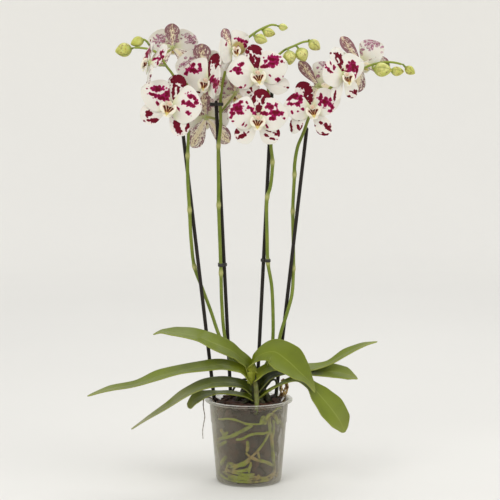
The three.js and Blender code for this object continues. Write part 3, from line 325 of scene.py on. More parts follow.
BLOTCHES = {
    "a1": {
        "left": [(-12, 16.5, 8, 3.2), (-17, 11, 4.5, 1.8, -8), (-8, 8, 8, 3, -15),
            (-3, 11.5, 3.5, 4), (-12.5, 2.5, 2, 2), (-22.5, 16.8, 0.9, 0.9), (-1, 16, 1.2, 1.2)],
        "dorsal": [(9, 27, 9, 7), (3.2, 14, 1.6, 9, -3), (15, 21, 3.2, 7, 20), (8, 14, 1.3, 8, 4),
            (12.5, 13, 1.2, 6.5, -6), (5, 5.5, 2, 3)],
        "right": [(13, 3.5, 3, 2.6), (19.5, 9.5, 4, 3.5), (19, 2, 3.5, 3), (24.5, 7.5, 2.5, 2.5),
            (26, 3, 2.5, 2.5), (22, 0, 4, 2), (31, 1.2, 1, 0.9), (18, -7, 3.4, 1.9, -38),
            (8.5, -3.5, 1, 3, 35)],
        "low_left": [(-21.5, -8.5, 3.4, 3.6), (-15, -14.6, 9.5, 2.3), (-8, -13.5, 3.5, 1.6),
            (-9, -5, 0.7, 0.7)],
        "low_right": [(6.5, -21, 3, 7.5, 28), (8.5, -17, 1.5, 4, 5), (17, -20.5, 1.7, 5, -12)],
    },
    "a4": {
        "left": [(-24, 17, 1.8, 0.9, -30), (-19, 18.5, 2.5, 1.1, -35), (-15.5, 17, 3, 2.6),
            (-16, 12, 7.5, 2.6, -18), (-22.5, 9.5, 2.5, 2.2), (-8.5, 14.5, 1.9, 5.5, 5)],
        "dorsal": [(6.5, 24, 5, 7.5), (0.5, 15, 1.5, 12, -10), (0, 8, 2, 5, -15),
            (9, 16, 2.5, 4.5)],
        "right": [(5.5, 1.5, 4.5, 2.8, -15), (7.5, -3, 3.2, 4.5, 15), (4.5, 5.5, 2, 1.8),
            (8, -10, 1, 3, 10), (10.5, -1, 1.2, 3.5), (13.5, -9, 0.8, 0.8), (1.5, 1.5, 2, 2.5)],
        "low_left": [(-15, -6.5, 1.1, 0.7), (-11, -9.5, 3, 1, -25)],
        "low_right": [(-3.5, -14, 2, 0.9, 40)],
    },
    "b3": {
        "left": [(-6, 5, 0.9, 2, -15), (-14, 1, 0.8, 1.6, 10)],
        "dorsal": [(-5, 15, 4, 5), (-7, 9, 1.5, 4, 10)],
        "right": [(9.5, 9.3, 7.5, 1.9, -16), (13, 5, 1.6, 2.6), (6, 2.5, 1.6, 1.6),
            (2, 0.5, 1.8, 1.6)],
        "low_left": [(-8, -6, 0.7, 1.4)],
        "low_right": [(4, -8, 1, 0.8)],
    },
    "c1": {
        "left": [(-18, 15.5, 4, 2.4, 20), (-21, 10, 7.4, 4.4, 8), (-25, 5.5, 2.8, 2.6),
            (-18, 6, 4.4, 2.4), (-11, 16, 1.3, 1.6), (-9.5, 11, 2.2, 2, 30), (-27.2, 1, 1.7, 1.4),
            (-25, -2.5, 1.4, 1.1), (-6, 9, 2, 2.6, 20), (-3, 6, 2.6, 2.2),
            (-15, -5.5, 0.9, 2.2, -38), (-12, -7, 0.8, 1.8, -38)],
        "dorsal": [(3.8, 26.5, 9.5, 4.6), (-3.5, 20, 2.2, 8, -12), (5, 18, 2, 6, 8),
            (1, 22, 3.6, 3.4), (1, 10.5, 3.4, 4.5), (-4, 13.5, 1.4, 1.8), (9.5, 23.5, 4, 3.4)],
        "right": [(12, 12, 4.8, 3.4), (18, 13.5, 2, 1.8), (17, 6, 7, 3.8), (23, 5, 1.8, 4.5, 38),
            (15, 0, 4.2, 2.3), (26, 0.5, 1.5, 1.5), (6, 5, 6, 2.2, -14), (9, -7, 1, 3, 25)],
        "low_left": [(-22, -13, 2.3, 4, -10), (-19.5, -13, 1.1, 2.2), (-16, -17, 6, 2.3, 25),
            (-20, -20, 1.6, 0.8), (-9, -13, 1, 0.8), (-15, -5.5, 0.8, 2.2, -38),
            (-12, -7, 0.7, 1.8, -38)],
        "low_right": [(8.5, -7, 0.9, 3, 25), (11, -12, 2.6, 1.1, -20), (9, -17, 3.6, 1.4, -25),
            (16, -14, 2, 0.9, -10), (21, -14, 2.2, 3.2, 10), (14.5, -19.5, 4.2, 1.3, -12),
            (18, -16, 2.5, 1)],
    },
    "c2": {
        "left": [(-16.5, 10.5, 3.4, 2.1, 18), (-20.5, 5, 4, 3, 10), (-19, 1.5, 4, 1.8, 8),
            (-23.5, 6, 1.6, 1.5), (-27, 3.5, 1.1, 1.1), (-17, -12.6, 1.7, 1.2),
            (-12.7, -11, 0.9, 1.8, -35)],
        "dorsal": [(-5, 27, 8, 4), (-10, 22, 3, 3.2), (0, 23.5, 4, 4.2), (-6, 15, 2.4, 7.5, 18),
            (0, 13.5, 2.2, 6.5), (-2, 9, 4, 3), (-3.5, 19, 1.2, 2)],
        "right": [(14.5, 15.5, 8, 3.8, 5), (8, 13.5, 3, 2.2), (15, 11, 8, 2.2, 5),
            (23.5, 13, 1.8, 1.2), (8, 8, 8.5, 2, 8), (12.3, -1, 1.6, 0.9, -30),
            (21, -5.5, 3.8, 3, -20), (15.5, 7, 1.1, 0.9), (25, -1.5, 1, 0.8)],
        "low_left": [(-7.3, -13, 1.5, 1.4), (-6.4, -14.8, 1.3, 1.8), (-9.2, -17.3, 2.2, 1.3, 25),
            (-6.5, -20.5, 1, 0.9)],
        "low_right": [(26.5, -12, 1.5, 0.7), (30.5, -13, 2, 1)],
    },
    "d1": {
        "left": [(-18, 12.5, 8, 3.2), (-12.5, 9.5, 3.2, 4), (-23, 10, 3.5, 2.6),
            (-27.5, 9.8, 1.5, 1.5), (-22, 5, 3.6, 1.9), (-14, 4.5, 3.5, 2.5, 15),
            (-20, -3.5, 1.7, 1.6), (-14, -2.2, 1.3, 1.2), (-9, -0.5, 2.2, 1.8, 20)],
        "dorsal": [(-13.5, 24, 4, 3.6), (-7, 25, 5.5, 4.6), (-4, 18.5, 5.2, 8, 12),
            (-7, 12, 2.2, 5, 10), (-1.8, 12, 2.4, 7, 5), (-5, 5.5, 3, 4.4, 12)],
        "right": [(9, 14, 1.6, 1.8), (8.5, 10.5, 3.4, 2.6), (14, 7, 6.2, 5, -10),
            (8, 4.5, 2.4, 2.2), (20, 2, 2.2, 2.4), (18, -2.2, 2.4, 1.7), (11, 1, 0.8, 0.7)],
        "low_left": [(-20.5, -18.5, 1.2, 5.8, 6), (-13, -11.5, 0.7, 1.8, -20),
            (-13.5, -18.5, 1.8, 3), (-10.5, -19, 1.2, 4, -15), (-15.5, -26, 2.6, 1.3, 15)],
        "low_right": [(9, -14, 2, 1.8, -40), (15, -17.5, 5, 3.2, -42), (20, -22.5, 1.5, 1, 30),
            (13, -25.5, 4, 1.1, 5), (10.5, -23.5, 1.3, 1), (3, -21.5, 5.8, 0.9, -40),
            (1.5, -17, 2, 1.6, -40)],
    },
    "d2": {
        "left": [(-22, 8.5, 1, 0.9), (-19.5, 10, 2.2, 0.8, -40), (-18.5, 6, 1.6, 0.7, -40),
            (-15.5, 4, 3.6, 1.8, -38), (-13, 2.5, 1.7, 1.5), (-13.5, 11, 0.8, 2.2, 20),
            (-10, 6.5, 1.6, 2.6, 10)],
        "dorsal": [(-13, 21, 1.4, 1, 20), (-6.5, 19, 4.5, 2, -32), (-2.5, 14.5, 1.8, 6.5, 12),
            (-7, 13.5, 1.1, 4, 25), (-4, 7, 2.6, 4.5, 15), (-1.5, 3.5, 1.8, 3)],
        "right": [(4.5, 8, 3.2, 2.6), (9.5, 7, 5.5, 4.8), (13.5, 5.5, 2.2, 4.2),
            (12, -1.5, 1.3, 2.4, 10), (3.5, 3, 3, 1.3), (5.5, 12, 1.5, 1.5),
            (10, 12.5, 3, 2.2, -15)],
        "low_left": [(-9, -21, 1.2, 6, -8)],
        "low_right": [(12, -17, 2.2, 2.6), (8, -16.5, 2, 0.7), (5.5, -21.5, 2, 1.2),
            (9, -23, 1.6, 0.9), (1.5, -21, 2, 0.7, -15)],
    },
}

# Painted olive shade inside the cup of a bloom that is seen from its side, laid out in the same
# way.
CUP_SHADE = {("b3", "right"): [(6.5, 1.5, 8, 9)]}

# ---- Curves and places ----


class Path:
    """A smooth curve through points, with places along it given by share of its length."""

    # How many pieces it is measured in, and the share to either side that gives its direction.
    STEPS, NEAR = 300, 0.004

    def __init__(self, points):
        self.points = [Vector(p) for p in points]
        self.table = [self.at(k / self.STEPS) for k in range(self.STEPS + 1)]
        self.reach = [0.0]
        for a, b in zip(self.table, self.table[1:]):
            self.reach.append(self.reach[-1] + (b - a).length)
        self.length = self.reach[-1]

    def at(self, t):
        """The point at t of the way from the first point to the last, counted by points."""
        points = self.points
        last = len(points) - 1
        k = min(int(last * t), last - 1)
        w = last * t - k
        b, c = points[k], points[k + 1]
        a = points[k - 1] if k else b * 2 - c
        d = points[k + 2] if k + 2 <= last else c * 2 - b
        steps = [(q - p).length ** 0.5 for p, q in ((a, b), (b, c), (c, d))]
        start, stop = (
            ((q - p) / s0 - (r - p) / (s0 + s1) + (r - q) / s1) * steps[1]
            for p, q, r, s0, s1 in ((a, b, c, *steps[:2]), (b, c, d, *steps[1:])))
        return (b + start * w + (3 * (c - b) - 2 * start - stop) * w * w
                + (2 * (b - c) + start + stop) * w ** 3)

    def spot(self, share):
        """The point at a share of the curve's length."""
        goal = min(max(share, 0), 1) * self.length
        low, high = 0, len(self.reach) - 1
        while high - low > 1:
            middle = (low + high) // 2
            low, high = (middle, high) if self.reach[middle] <= goal else (low, middle)
        step = self.reach[high] - self.reach[low]
        return self.table[low].lerp(self.table[high], (goal - self.reach[low]) / step)

    def direction(self, share):
        return (self.spot(share + self.NEAR) - self.spot(share - self.NEAR)).normalized()


class Bent(Path):
    """A cubic curve from its first point to its last, drawn towards the two between."""

    def at(self, t):
        a, b, c, d = self.points
        s = 1 - t
        return a * s ** 3 + b * 3 * s * s * t + c * 3 * s * t * t + d * t ** 3


def inner_radius(z):
    """The inner wall's radius at a height in the pot."""
    wall = [(r - POT["wall"], h) for r, h in POT["outer"]]
    for (r0, z0), (r1, z1) in zip(wall, wall[1:]):
        if z <= z1:
            return r0 + (r1 - r0) * max(0, z - z0) / (z1 - z0)
    return wall[-1][0]


def front_point(right, z, inset):
    """A place by the pot's front wall, inset from it, a distance to the right of the middle. Its
    height is the one that it seems to have from a little above, so it lies lower further round."""
    drop, floor = 0.25, 4
    r = inner_radius(z) - inset
    depth = math.sqrt(r * r - right * right)
    return Vector((right, -depth, max(z - drop * (r - depth), floor + inset)))


def wall_point(degrees, z, inset):
    """A place by the pot's wall, inset from it, degrees right of the front."""
    r, angle = inner_radius(z) - inset, math.radians(degrees)
    return Vector((r * math.sin(angle), -r * math.cos(angle), z))


def bloom_matrix(name):
    """A bloom's place: rolled about its face, pitched up, turned about +Z, with its face at +Z."""
    _, at, yaw, pitch, roll, size, _ = BLOOMS[name]
    return (Matrix.Translation(at) @ Matrix.Rotation(math.radians(yaw), 4, "Z")
            @ Matrix.Rotation(math.radians(90 - pitch), 4, "X")
            @ Matrix.Rotation(math.radians(-roll), 4, "Z") @ Matrix.Scale(size, 4))


def smooth(x):
    x = min(max(x, 0), 1)
    return x * x * (3 - 2 * x)


# ---- Making and finishing meshes ----


def alone(piece=None):
    """Selects one piece and nothing else."""
    for other in bpy.context.selected_objects:
        other.select_set(False)
    if piece:
        piece.select_set(True)
        bpy.context.view_layer.objects.active = piece


def edit(piece, *steps):
    """Runs edit-mode steps on the whole of a piece."""
    alone(piece)
    bpy.ops.object.mode_set(mode="EDIT")
    bpy.ops.mesh.select_all(action="SELECT")
    for step in steps:
        step()
    bpy.ops.object.mode_set(mode="OBJECT")


def sheet(name, place, across, along, facing=None, marks=None):
    """A grid bent to place(u, v), in millimetres, u from 0 to 1 along it and v from -1 to 1 across.
    marks(u, v, point) gives numbers by name that the sheet's finish reads."""
    alone()
    bpy.ops.mesh.primitive_grid_add(x_subdivisions=across, y_subdivisions=along, size=2)
    piece = bpy.context.object
    piece.name = name
    values = {}
    for vertex in piece.data.vertices:
        u, v = (vertex.co.y + 1) / 2, vertex.co.x
        point = place(u, v)
        vertex.co = point * MM
        for key, value in (marks(u, v, point) if marks else {}).items():
            values.setdefault(key, []).append(value)
    for key, found in values.items():
        layer = piece.data.attributes.new(key, "FLOAT", "POINT")
        layer.data.foreach_set("value", found)
    piece.data.update()
    if facing:
        heading = sum((face.normal * face.area for face in piece.data.polygons), Vector())
        if heading.dot(facing) < 0:
            edit(piece, bpy.ops.mesh.flip_normals)
    return piece


def close_up(piece):
    """Merges the seam and poles of a sheet that was bent into a closed shape."""
    edit(
        piece,
        lambda: bpy.ops.mesh.remove_doubles(threshold=1e-6),
        lambda: bpy.ops.mesh.normals_make_consistent(inside=False),
    )
    return piece


def tube(name, path, radius, sides, step, marks=None):
    """A round rod along a path with rounded ends, its radius a function of share and angle."""
    end = min(0.45, radius(0.5, 0) / path.length)
    rings = max(4, math.ceil(path.length / step))
    shares = [0, 0, end * 0.3] + [end + (1 - 2 * end) * k / rings for k in range(rings + 1)]
    shares += [1 - end * 0.3, 1, 1]
    dome = [0, 0.55, 0.86]
    fit = dome + [1] * (rings + 1) + dome[::-1]
    places, normal = [], None
    for share in shares:
        along = path.direction(share)
        side = normal or along.orthogonal()
        normal = (side - along * side.dot(along)).normalized()
        places.append((path.spot(share), normal, along.cross(normal)))
    last = len(shares) - 1

    def place(u, v):
        k = round(u * last)
        spot, right, up = places[k]
        angle = math.pi * v
        r = radius(shares[k], angle) * fit[k]
        return spot + (right * math.cos(angle) + up * math.sin(angle)) * r

    def ring_marks(u, v, point):
        return marks(shares[round(u * last)], v, point)

    return close_up(sheet(name, place, sides, last, marks=marks and ring_marks))


def turned(name, profile, sides, marks=None):
    """A profile of radius and height turned round the Z axis, closed where it meets the axis."""
    last = len(profile) - 1

    def place(u, v):
        r, z = profile[round(u * last)]
        return Vector((r * math.cos(math.pi * v), r * math.sin(math.pi * v), z))

    return close_up(sheet(name, place, sides, last, marks=marks))


def apply(piece, kind, **settings):
    """Adds a modifier with its settings and applies it."""
    alone(piece)
    modifier = piece.modifiers.new(kind.title(), kind)
    for key, value in settings.items():
        setattr(modifier, key, value)
    bpy.ops.object.modifier_apply(modifier=modifier.name)
    return piece


def thicken(piece, thickness, back_slot=0):
    """Gives a sheet its thickness; its back takes the finish back_slot places further on."""
    return apply(piece, "SOLIDIFY", thickness=thickness * MM, offset=0, material_offset=back_slot,
                 use_even_offset=True)


def joined(name, pieces):
    """Several meshes as one piece."""
    alone(pieces[0])
    for piece in pieces:
        piece.select_set(True)
    bpy.ops.object.join()
    pieces[0].name = name
    return pieces[0]


def wear(piece, *finishes):
    """Gives a piece its finishes, in the order of its slots."""
    for finish in finishes:
        piece.data.materials.append(finish)
    return piece


def hand_over(piece, slot, *nodes, sharp=None):
    """Smooths a finished piece, hangs it on the plant and puts it in its solids' place."""
    alone(piece)
    if sharp:
        bpy.ops.object.shade_smooth_by_angle(angle=math.radians(sharp))
    else:
        bpy.ops.object.shade_smooth()
    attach(piece, "root")
    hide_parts(*nodes)


# ---- Finishes ----


class Finish:
    """A material whose nodes are added one by one and lead to its shader."""

    def __init__(self, name, **sockets):
        self.material = bpy.data.materials.new(name)
        self.material.use_nodes = True
        self.tree = self.material.node_tree
        self.shader = self.tree.nodes["Principled BSDF"]
        self.feed(self.shader, {key.replace("_", " "): value for key, value in sockets.items()})
        self.here = self.add("ShaderNodeTexCoord").outputs["Object"]

    def feed(self, node, inputs):
        for key, value in inputs.items():
            if isinstance(value, bpy.types.NodeSocket):
                self.tree.links.new(value, node.inputs[key])
            else:
                socket = node.inputs[key]
                if socket.type == "RGBA":
                    value = (*value, 1)[:4]
                socket.default_value = value

    def add(self, kind, inputs=None, **settings):
        node = self.tree.nodes.new(kind)
        for key, value in settings.items():
            setattr(node, key, value)
        self.feed(node, inputs or {})
        return node

    def mark(self, name):
        """A number that the mesh carries."""
        return self.add("ShaderNodeAttribute", attribute_name=name).outputs["Fac"]

    def noise(self, scale, detail=3, stretch=None):
        place = self.here
        if stretch:
            place = self.add("ShaderNodeMapping", {"Vector": place, "Scale": stretch}).outputs[0]
        inputs = {"Vector": place, "Scale": scale, "Detail": detail}
        return self.add("ShaderNodeTexNoise", inputs).outputs[0]

    def sum(self, *terms):
        """Adds up numbers, each given as a value or as a value and a factor."""
        total = None
        for term in terms:
            value, factor = term if isinstance(term, tuple) else (term, 1)
            if total is None:
                total = self.math("MULTIPLY", value, factor)
            else:
                total = self.add("ShaderNodeMath", {0: value, 1: factor, 2: total},
                                 operation="MULTIPLY_ADD").outputs[0]
        return total

    def math(self, operation, a, b=0.0):
        return self.add("ShaderNodeMath", {0: a, 1: b}, operation=operation).outputs[0]

    def step(self, value, low, high):
        """Rises from 0 to 1 as value goes from low to high."""
        return self.add(
            "ShaderNodeMapRange", {"Value": value, "From Min": low, "From Max": high},
            interpolation_type="SMOOTHSTEP").outputs[0]

    def mix(self, share, under, over):
        node = self.add("ShaderNodeMix", data_type="RGBA")
        self.feed(node, {0: share, 6: under, 7: over})
        return node.outputs[2]

    def glaze(self, mask, share, under, over):
        """Lays a share of one tone over another where the mask is 1."""
        return self.mix(self.math("MULTIPLY", mask, share), under, over)

    def between(self, lines):
        """1 between the lines and 0 on them."""
        return self.math("SUBTRACT", 1.0, lines)

    def mottled(self, tone, *layers):
        """Lays tones over one another, each where a noise runs high. A layer has the noise's scale
        and detail, where it begins and is full, how much it covers, and its tone."""
        for scale, detail, low, high, share, over in layers:
            tone = self.glaze(self.step(self.noise(scale, detail), low, high), share, tone, over)
        return tone

    def done(self, colour, roughness=None, relief=None, depth=0.3):
        """Leads the colour, roughness and relief, of a depth in millimetres, to the shader."""
        self.feed(self.shader, {"Base Color": colour})
        if roughness is not None:
            self.feed(self.shader, {"Roughness": roughness})
        if relief is not None:
            bump = self.add(
                "ShaderNodeBump", {"Height": relief, "Strength": 0.6, "Distance": depth * MM})
            self.feed(self.shader, {"Normal": bump.outputs[0]})
        return self.material


def rgb(red, green, blue):
    """A colour from 0 to 255 as seen, in the shader's own scale."""
    return tuple(
        c / 12.92 if c <= 0.04045 else ((c + 0.055) / 1.055) ** 2.4
        for c in (red / 255, green / 255, blue / 255))


# Thin tissue lets a little light through.
THIN = {"Subsurface_Weight": 0.05, "Subsurface_Scale": 0.001}


def veins(f, count):
    """Fine lines that run along a tepal and spread with it."""
    waver = f.noise(60, 2)
    wave = f.sum((f.mark("across"), count), (waver, 1.6), (f.mark("along"), 0.8))
    return f.math("POWER", f.math("ABSOLUTE", f.math("SINE", wave)), 0.35)


def blotting(f):
    """How far a place is inside a blotch, with an edge that breaks up into round dots."""
    dots = f.add("ShaderNodeTexVoronoi", {"Vector": f.here, "Scale": 260.0}).outputs["Distance"]
    return f.sum(f.mark("stain"), (f.noise(280, 1), 0.5), (f.noise(1000, 1), 0.2), (dots, -1.15),
                 (1.0, 0.25))


def petal_face(plan):
    f = Finish("petal face", **THIN, Specular_IOR_Level=0.12)
    stain = blotting(f)
    inked = f.step(stain, -0.04, 0.05)
    halo = f.step(stain, -0.3, 0.02)
    lines = veins(f, 30)
    white = f.mix(f.step(f.mark("along"), 0.3, 0.02), tuple(plan.petal_colour), rgb(212, 212, 172))
    white = f.glaze(f.between(lines), 0.2, white, rgb(198, 192, 180))
    white = f.glaze(halo, 0.3, white, rgb(214, 160, 190))
    # Painted shade: olive inside the cup of a bloom that is seen from its side.
    white = f.mix(f.mark("olive"), white, rgb(176, 158, 98))
    deep = f.step(f.sum(f.mark("depth"), (f.noise(330, 2), 0.6), (stain, 0.9)), 0.35, 1.15)
    ink = f.mix(deep, tuple(plan.blotch_colour), tuple(plan.deep_colour))
    ink = f.glaze(f.between(lines), 0.35, ink, rgb(56, 2, 20))
    return f.done(f.mix(inked, white, ink), f.sum((f.noise(300, 2), 0.2), (1.0, 0.5)),
                  f.sum((lines, 0.5), f.noise(500, 2)), 0.12)


def petal_back(plan):
    f = Finish("petal back", **THIN, Specular_IOR_Level=0.15)
    stain = blotting(f)
    lines = veins(f, 30)
    pale = f.mix(f.step(f.mark("along"), 0.5, 0.05), tuple(plan.petal_colour), rgb(214, 212, 176))
    pale = f.glaze(f.between(lines), 0.25, pale, rgb(194, 180, 170))
    specks = f.sum((f.step(f.noise(480, 2), 0.36, 0.56), 0.65), (1.0, 0.25))
    bleed = f.math("MULTIPLY", f.step(stain, -0.15, 0.2), specks)
    flush = f.mix(f.step(f.noise(400, 2), 0.4, 0.6), rgb(168, 100, 132), rgb(120, 40, 78))
    return f.done(f.mix(bleed, pale, flush), 0.55, lines, 0.12)


def sepal_back():
    f = Finish("sepal back", **THIN, Specular_IOR_Level=0.15)
    edge = f.math("ABSOLUTE", f.mark("across"))
    lines = veins(f, 14)
    pale = f.mix(f.step(edge, 0.7, 0.1), rgb(246, 238, 224), rgb(242, 230, 194))
    pale = f.glaze(f.between(lines), 0.3, pale, rgb(170, 128, 116))
    streaks = f.add("ShaderNodeCombineXYZ", {
        0: f.sum((f.mark("across"), 8.0)), 1: f.sum((f.mark("along"), 6.0)), 2: f.noise(30, 1)})
    spots = f.add("ShaderNodeTexNoise", {"Vector": streaks.outputs[0], "Scale": 1.4, "Detail": 3})
    spots = f.sum(spots.outputs[0], (edge, 0.27), (f.mark("along"), 0.1), (f.mark("stain"), 0.06),
                  (f.noise(500, 1), 0.4), (f.mark("depth"), 0.6), (1.0, -0.43))
    tone = f.mix(f.noise(380, 2), rgb(150, 88, 106), rgb(92, 36, 50))
    return f.done(f.glaze(f.step(spots, 0.78, 0.9), 0.9, pale, tone), 0.55, lines, 0.12)


def hub_finish():
    f = Finish("bloom hub", Roughness=0.5)
    return f.done(f.mix(f.noise(300), rgb(205, 205, 160), rgb(150, 165, 90)))


def lip_finish(plan):
    f = Finish("lip", **THIN, Specular_IOR_Level=0.2)
    gold = f.sum(f.mark("gold"), (f.noise(300, 2), 0.3))
    base = f.mix(f.step(gold, 0.2, 0.95), rgb(234, 229, 210), tuple(plan.lip_colour))
    bars = f.sum(f.mark("bars"), (f.noise(700, 2), 0.35), (1.0, -0.17))
    warm = f.math("MULTIPLY", f.step(bars, 0, 0.35), 0.75)
    base = f.mix(warm, base, rgb(196, 112, 40))
    return f.done(f.mix(f.step(bars, 0.3, 0.5), base, rgb(84, 16, 10)), 0.5, f.noise(700), 0.08)


def leaf_finish(plan, name="leaf face", tone=None, roughness=0.4, gloss=0.06):
    f = Finish(name, Coat_Weight=gloss, Coat_Roughness=0.25, Specular_IOR_Level=0.28)
    across, along = f.mark("across"), f.mark("along")
    tone = tone or tuple(plan.leaf_colour)
    light = f.mottled(tone, (16, 3, 0.35, 0.7, 1, tuple(min(1, c * 1.45) for c in tone)))
    light = f.mix(f.step(f.mark("foot"), 0, 1), light, rgb(146, 152, 46))
    # Painted shade: a foot below 0 darkens the leaf's foot as if it lay in deep shade.
    light = f.mix(f.step(f.mark("foot"), 0, -1), light, rgb(38, 46, 10))
    light = f.glaze(f.step(along, 0.8, 1), 0.5, light, rgb(142, 148, 70))
    grain = f.math("ABSOLUTE", f.math("SINE", f.sum((across, 70.0), (f.noise(30, 2), 2.0))))
    light = f.glaze(grain, 0.14, light, tuple(c * 0.55 for c in tone))
    aside = f.math("ABSOLUTE", across)
    light = f.glaze(f.step(aside, 0.05, 0.01), 0.35, light, rgb(150, 156, 70))
    light = f.glaze(f.step(aside, 0.94, 1.0), 0.45, light, rgb(160, 164, 84))
    light = f.mottled(light, (140, 4, 0.66, 0.74, 0.25, tuple(c * 0.5 for c in tone)))
    # Painted sheen: grey patches on the outer half of the leaves that carry it.
    sheen_mask = f.math("MULTIPLY", f.mark("dust"), f.step(f.noise(24, 3), 0.25, 0.6))
    light = f.glaze(sheen_mask, 0.75, light, rgb(152, 150, 122))
    gloss_map = f.sum((f.noise(40, 3), 0.25), (1.0, roughness - 0.1))
    return f.done(light, gloss_map, f.sum((grain, 0.25), (f.noise(220, 4), 0.6)), 0.12)


def stem_finish(plan):
    f = Finish("stem", Specular_IOR_Level=0.3)
    ring = f.mark("node")
    green = f.mottled(tuple(plan.stem_colour), (45, 3, 0.35, 0.7, 1, rgb(116, 128, 44)),
                      (350, 3, 0.6, 0.72, 0.35, rgb(150, 155, 92)))
    green = f.mix(f.step(f.mark("along"), 0.62, 0.95), green, rgb(136, 148, 56))
    green = f.glaze(ring, 0.75, green, rgb(186, 182, 120))
    return f.done(green, 0.42, f.noise(400, 3, (1, 1, 0.12)), 0.15)


def bud_finish():
    f = Finish("bud", Subsurface_Weight=0.1, Subsurface_Scale=0.002, Specular_IOR_Level=0.3)
    tone = f.mottled(rgb(214, 212, 134), (70, 2, 0.35, 0.65, 1, rgb(190, 192, 94)))
    tone = f.mix(f.step(f.mark("along"), 0.3, 0), tone, rgb(140, 156, 58))
    tone = f.mottled(tone, (150, 3, 0.5, 0.66, 0.45, rgb(140, 136, 56)))
    specks = f.math(
        "MULTIPLY", f.step(f.noise(420, 3), 0.54, 0.64), f.step(f.noise(60, 2), 0.38, 0.56))
    tone = f.glaze(specks, 0.7, tone, rgb(124, 84, 62))
    tone = f.mix(f.mark("seam"), tone, rgb(120, 128, 50))
    return f.done(tone, 0.42, f.noise(500, 3), 0.15)


def stake_finish(plan):
    f = Finish("stake", Specular_IOR_Level=0.25)
    tone = f.mix(f.noise(90, 4, (1, 1, 0.08)), tuple(plan.stake_colour), rgb(38, 31, 25))
    gloss = f.sum((f.noise(200, 3), 0.25), (1.0, 0.35))
    return f.done(tone, gloss, f.noise(700, 3, (1, 1, 0.1)), 0.2)


def clip_finish():
    f = Finish("clip", Specular_IOR_Level=0.5)
    tone = f.mix(f.noise(500, 3), rgb(24, 22, 20), rgb(44, 40, 36))
    return f.done(tone, 0.38, f.noise(1200, 2), 0.05)


def root_finish(name, green, tan, pale):
    """A root's skin, pale setting how much of it is silvery."""
    f = Finish(name, Coat_Weight=0.05)
    tone = f.mottled(green, (35, 3, 0.45, 0.66, 1, tan),
                     (220, 4, 0.5, 0.7, pale, rgb(186, 184, 150)),
                     (90, 4, 0.5, 0.68, 0.6, rgb(70, 54, 32)))
    return f.done(tone, 0.6, f.noise(350, 4), 0.3)


def dry_finish(name, light, dark):
    """Dried fibre that pales along its length."""
    f = Finish(name)
    tone = f.mottled(light, (150, 4, 0.38, 0.6, 1, dark),
                     (420, 3, 0.58, 0.66, 1, tuple(c * 0.35 for c in dark)))
    tone = f.mix(f.mark("along"), tone, rgb(160, 152, 142))
    return f.done(tone, 0.75, f.noise(500, 4), 0.4)


def bark_finish(plan):
    f = Finish("bark")
    tone = f.mottled(tuple(plan.bark_colour), (55, 4, 0.35, 0.7, 1, rgb(78, 46, 30)),
                     (30, 2, 0.6, 0.7, 0.6, rgb(112, 72, 48)),
                     (600, 3, 0.5, 0.8, 0.5, rgb(20, 14, 10)))
    return f.done(tone, 0.8, f.sum((f.noise(160, 5), 1.2), (f.noise(900, 3), 0.4)), 0.8)


def plastic_finish(plan):
    """Clouded clear plastic: thin where it is seen square on, milky along its edges and its rim."""
    f = Finish("clouded plastic", Roughness=0.3, Specular_IOR_Level=0.4, IOR=1.4)
    facing = f.add("ShaderNodeLayerWeight", {"Blend": 0.5}).outputs["Facing"]
    edges = f.math("POWER", facing, 1.5)
    haze = f.sum((f.noise(25, 3), 0.08), (f.noise(160, 4), 0.06), (edges, 0.8),
                 (f.mark("rim"), -0.08), (1.0, plan.haze - 0.07))
    tone = f.mix(f.noise(30, 2), tuple(plan.plastic_colour), rgb(176, 172, 160))
    tone = f.mix(f.mark("rim"), tone, rgb(244, 242, 234))
    f.feed(f.shader, {"Alpha": f.add("ShaderNodeClamp", {"Value": haze}).outputs[0]})
    return f.done(tone, None, f.noise(60, 2), 0.15)


# ---- Settings ----


def colour(label, about, red, green, blue):
    return bpy.props.FloatVectorProperty(
        name=label, description=about, subtype="COLOR", size=3, min=0, max=1,
        default=rgb(red, green, blue))


def length(label, about, value):
    return bpy.props.FloatProperty(name=label, description=about, default=value * MM, min=0,
                                   unit="LENGTH")


class OrchidPotSettings(bpy.types.PropertyGroup):
    """Sizes and colours of the pot and what fills it."""

    plastic_colour: colour("Plastic", "Colour of the pot's clouded plastic", 148, 142, 122)
    haze: bpy.props.FloatProperty(
        name="Haze", description="How milky the pot's plastic is", default=0.09, min=0, max=1,
        subtype="FACTOR")
    bark_colour: colour("Bark", "Darkest colour of the bark chips", 42, 26, 18)
    chips: bpy.props.IntProperty(
        name="Chips", description="How many bark chips lie along the wall and on top", default=430,
        min=0, max=2000)
    root_radius: length("Root radius", "Radius of the roots along the wall", 1.9)


class OrchidPlantSettings(bpy.types.PropertyGroup):
    """Sizes and colours of the plant and its supports."""

    petal_colour: colour("Petals", "Ground colour of the blooms", 225, 221, 211)
    blotch_colour: colour("Blotches", "Colour of the petals' blotches", 164, 20, 90)
    deep_colour: colour("Deep blotches", "Colour of the sepals' darkest blotches", 104, 6, 30)
    lip_colour: colour("Lip", "Yellow of the lip's middle", 214, 198, 122)
    leaf_colour: colour("Leaves", "Colour of the leaves' upper face", 92, 103, 8)
    stem_colour: colour("Stems", "Colour of the flower spikes", 100, 116, 34)
    stake_colour: colour("Stakes", "Colour of the stakes", 20, 17, 14)
    leaf_thickness: length("Leaf thickness", "Thickness of a leaf", 1.8)
    petal_thickness: length("Petal thickness", "Thickness of petals, sepals and lips", 0.8)
    stem_radius: length("Stem radius", "Radius of a flower spike at its foot", 2.35)
    stem_tip_radius: length("Stem tip radius", "Radius of a flower spike at its tip", 1.45)
    stake_radius: length("Stake radius", "Radius of a stake", 2.5)
    seed: bpy.props.IntProperty(
        name="Seed", description="Start of the small differences between like pieces", default=7)


